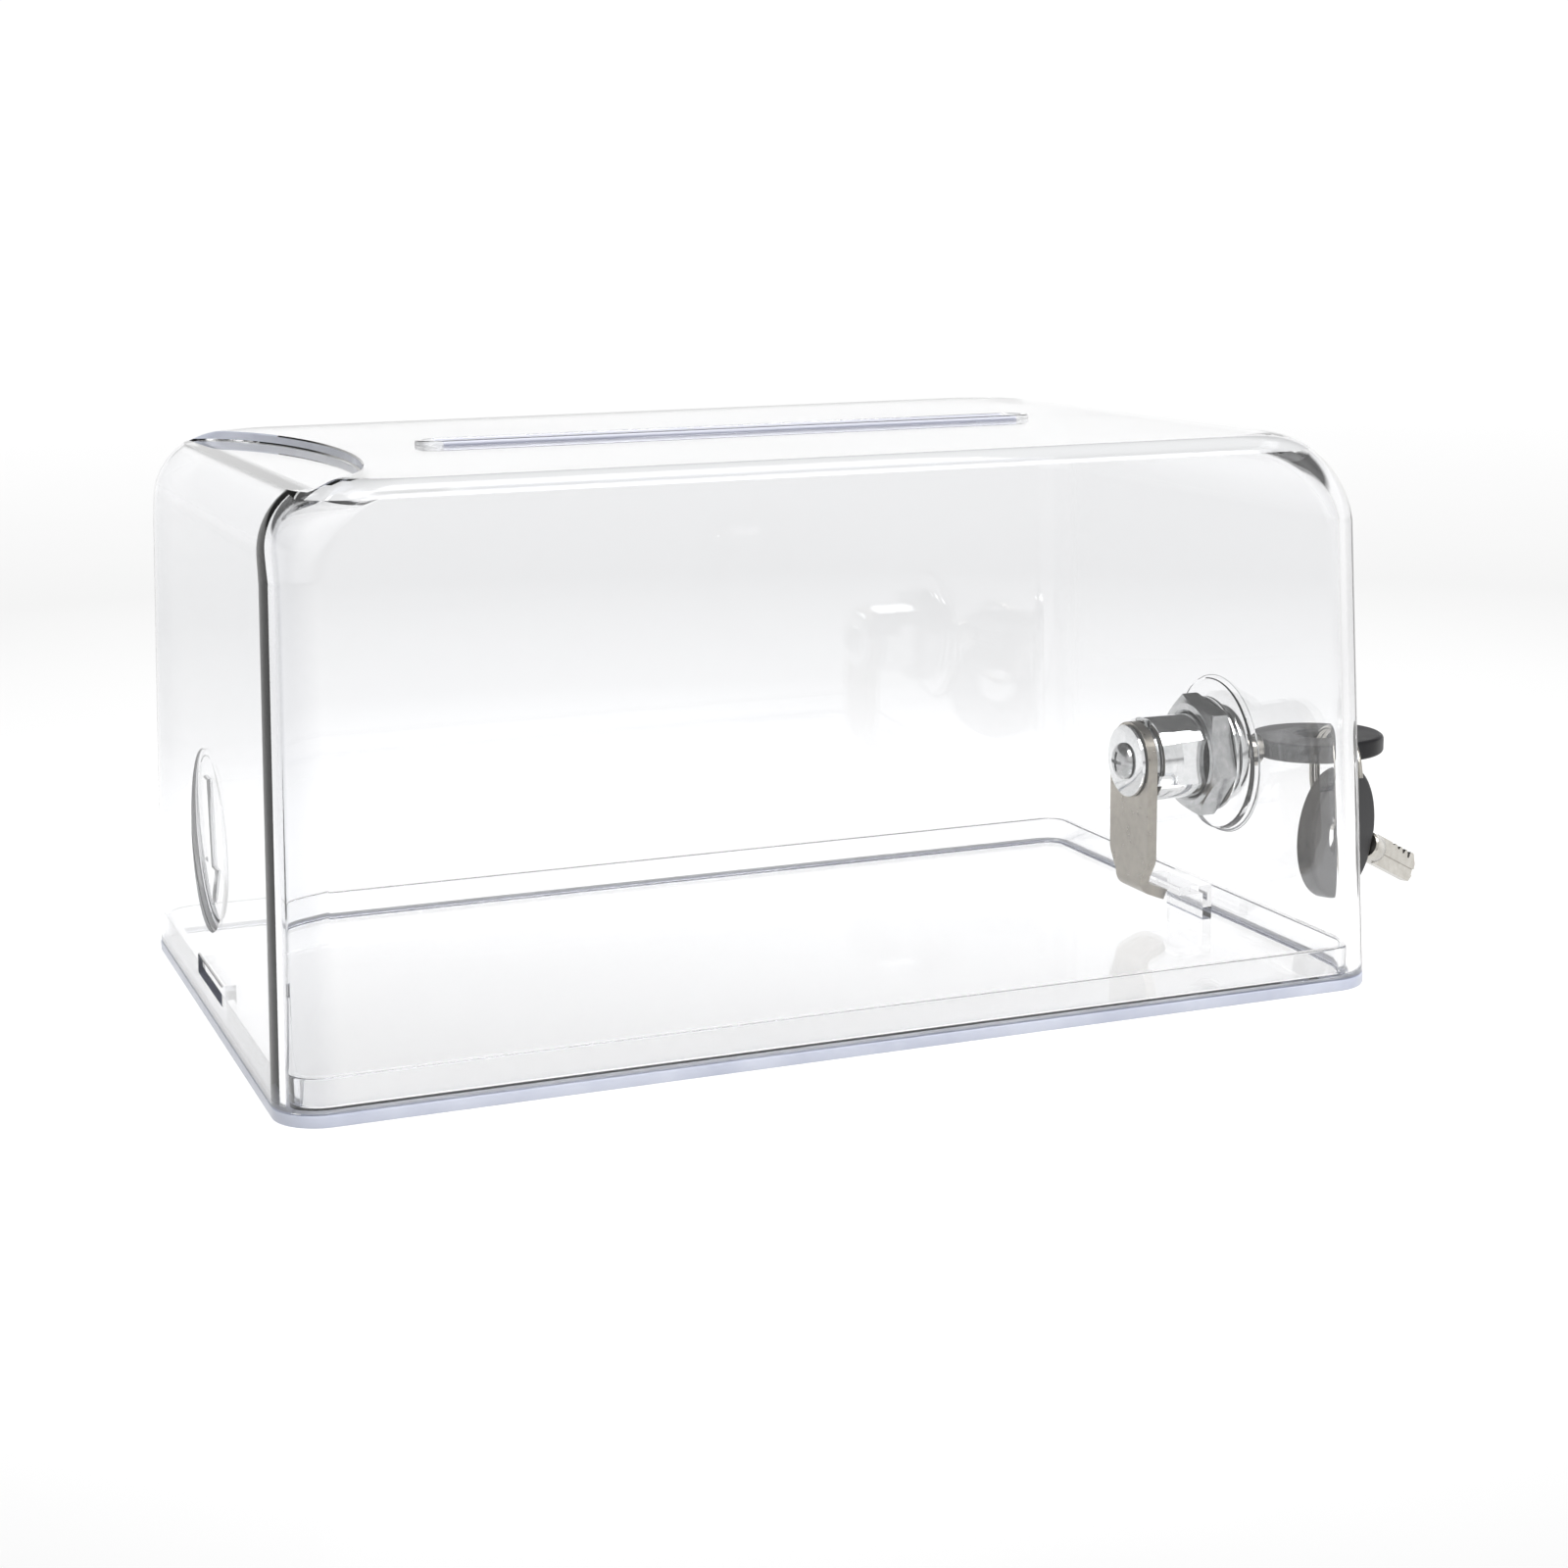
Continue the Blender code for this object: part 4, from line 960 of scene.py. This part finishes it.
# ---- floor, light and camera -----------------------------------------------------------------------
def make_floor():
    """A glossy table that reads plain white, wider than the camera sees. Its white is a painted glow on a
    dark base, strongest near the box: a painted pool of light.
    """
    bm = bmesh.new()
    bmesh.ops.create_grid(bm, x_segments=1, y_segments=1, size=8.0)
    floor = solid("floor", bm)
    floor.location.z = -0.0003      # just clear of the tray's underside
    mat, tree, shader = new_material("floor_painted_glow")
    cloud = noise(tree, 3.0)
    tint(tree, cloud.outputs["Fac"], (0.10, 0.10, 0.10), (0.12, 0.12, 0.12), shader.inputs["Base Color"])
    shader.inputs["Roughness"].default_value = 0.12
    shader.inputs["Specular IOR Level"].default_value = 0.12
    shader.inputs["Emission Color"].default_value = (1.0, 1.0, 1.0, 1.0)
    place = tree.nodes.new("ShaderNodeTexCoord")
    distance = tree.nodes.new("ShaderNodeVectorMath")
    distance.operation = "LENGTH"
    tree.links.new(place.outputs["Object"], distance.inputs[0])
    # the painted glow's strength against distance from the box, as a share of 4 m
    fall = tree.nodes.new("ShaderNodeValToRGB")
    fall.color_ramp.elements[0].color = (1.05, 1.05, 1.05, 1.0)
    fall.color_ramp.elements[0].position = 0.03
    fall.color_ramp.elements[1].color = (0.34, 0.34, 0.34, 1.0)
    for share, grey in ((0.055, 0.88), (0.09, 0.64), (0.16, 0.47), (0.35, 0.42)):
        fall.color_ramp.elements.new(share).color = (grey, grey, grey, 1.0)
    tree.links.new(to_range(tree, distance.outputs["Value"], 0.0, 1.0, 0.0, 4.0), fall.inputs["Fac"])
    tree.links.new(fall.outputs["Color"], shader.inputs["Emission Strength"])
    floor.data.materials.append(mat)


def make_world():
    """A soft white room: bright low down behind and beside the box and on the camera's side, dim overhead."""
    world = bpy.data.worlds.new("studio")
    bpy.context.scene.world = world
    world.use_nodes = True
    tree = world.node_tree
    place = tree.nodes.new("ShaderNodeTexCoord")
    split = tree.nodes.new("ShaderNodeSeparateXYZ")
    tree.links.new(place.outputs["Generated"], split.inputs["Vector"])
    # low is a band round the horizon; front is the camera's side, lit only above the horizon
    low = to_range(tree, split.outputs["Z"], 1.05, 0.0, 0.24, 0.32)
    front = to_range(tree, split.outputs["Y"], 0.95, 0.10, -0.55, -0.20)
    above = to_range(tree, split.outputs["Z"], 0.0, 1.0, 0.02, 0.14)
    lit = tree.nodes.new("ShaderNodeMath")
    lit.operation = "MULTIPLY"
    tree.links.new(front, lit.inputs[0])
    tree.links.new(above, lit.inputs[1])
    # the band is dimmer on the camera's side
    behind = to_range(tree, split.outputs["Y"], 0.40, 1.0, -0.45, 0.10)
    horizon = tree.nodes.new("ShaderNodeMath")
    horizon.operation = "MULTIPLY"
    tree.links.new(low, horizon.inputs[0])
    tree.links.new(behind, horizon.inputs[1])
    total = tree.nodes.new("ShaderNodeMath")
    total.operation = "MAXIMUM"
    tree.links.new(lit.outputs["Value"], total.inputs[0])
    tree.links.new(horizon.outputs["Value"], total.inputs[1])
    tree.links.new(total.outputs["Value"], tree.nodes["Background"].inputs["Strength"])
    tree.nodes["Background"].inputs["Color"].default_value = (1.0, 1.0, 1.0, 1.0)


def area_light(name, place, target, size, power):
    data = bpy.data.lights.new(name, "AREA")
    data.shape = "RECTANGLE"
    data.size, data.size_y = size
    data.energy = power
    light = bpy.data.objects.new(name, data)
    bpy.context.scene.collection.objects.link(light)
    light.location = place
    light.rotation_mode = "QUATERNION"
    light.rotation_quaternion = (Vector(target) - Vector(place)).to_track_quat("-Z", "Y")


def make_camera():
    heading, pitch, roll = 0.37387, 0.20995, -0.01385
    data = bpy.data.cameras.new("camera")
    data.sensor_width = 36.0
    data.lens = 62.42
    camera = bpy.data.objects.new("camera", data)
    bpy.context.scene.collection.objects.link(camera)
    camera.location = (-0.1975, -0.5291, 0.1596)
    level = math.cos(pitch)
    forward = Vector((math.sin(heading) * level, math.cos(heading) * level, -math.sin(pitch)))
    camera.rotation_mode = "QUATERNION"
    camera.rotation_quaternion = forward.to_track_quat("-Z", "Y") @ Quaternion((0, 0, 1), roll)
    bpy.context.scene.camera = camera


make_camera()
make_tray()
make_cover()
make_housing()
make_nut()
make_plug()
make_cam()
make_key("", "key", Matrix.Identity(4))
make_ring()
make_key("spare_", "spare_key", spare_place())
finish_inner_nodes()
make_floor()
make_world()
area_light("softbox", (0.05, -0.45, 0.80), (0, 0, 0.05), (0.7, 0.5), 12.0)
bpy.context.scene.view_settings.view_transform = "Standard"
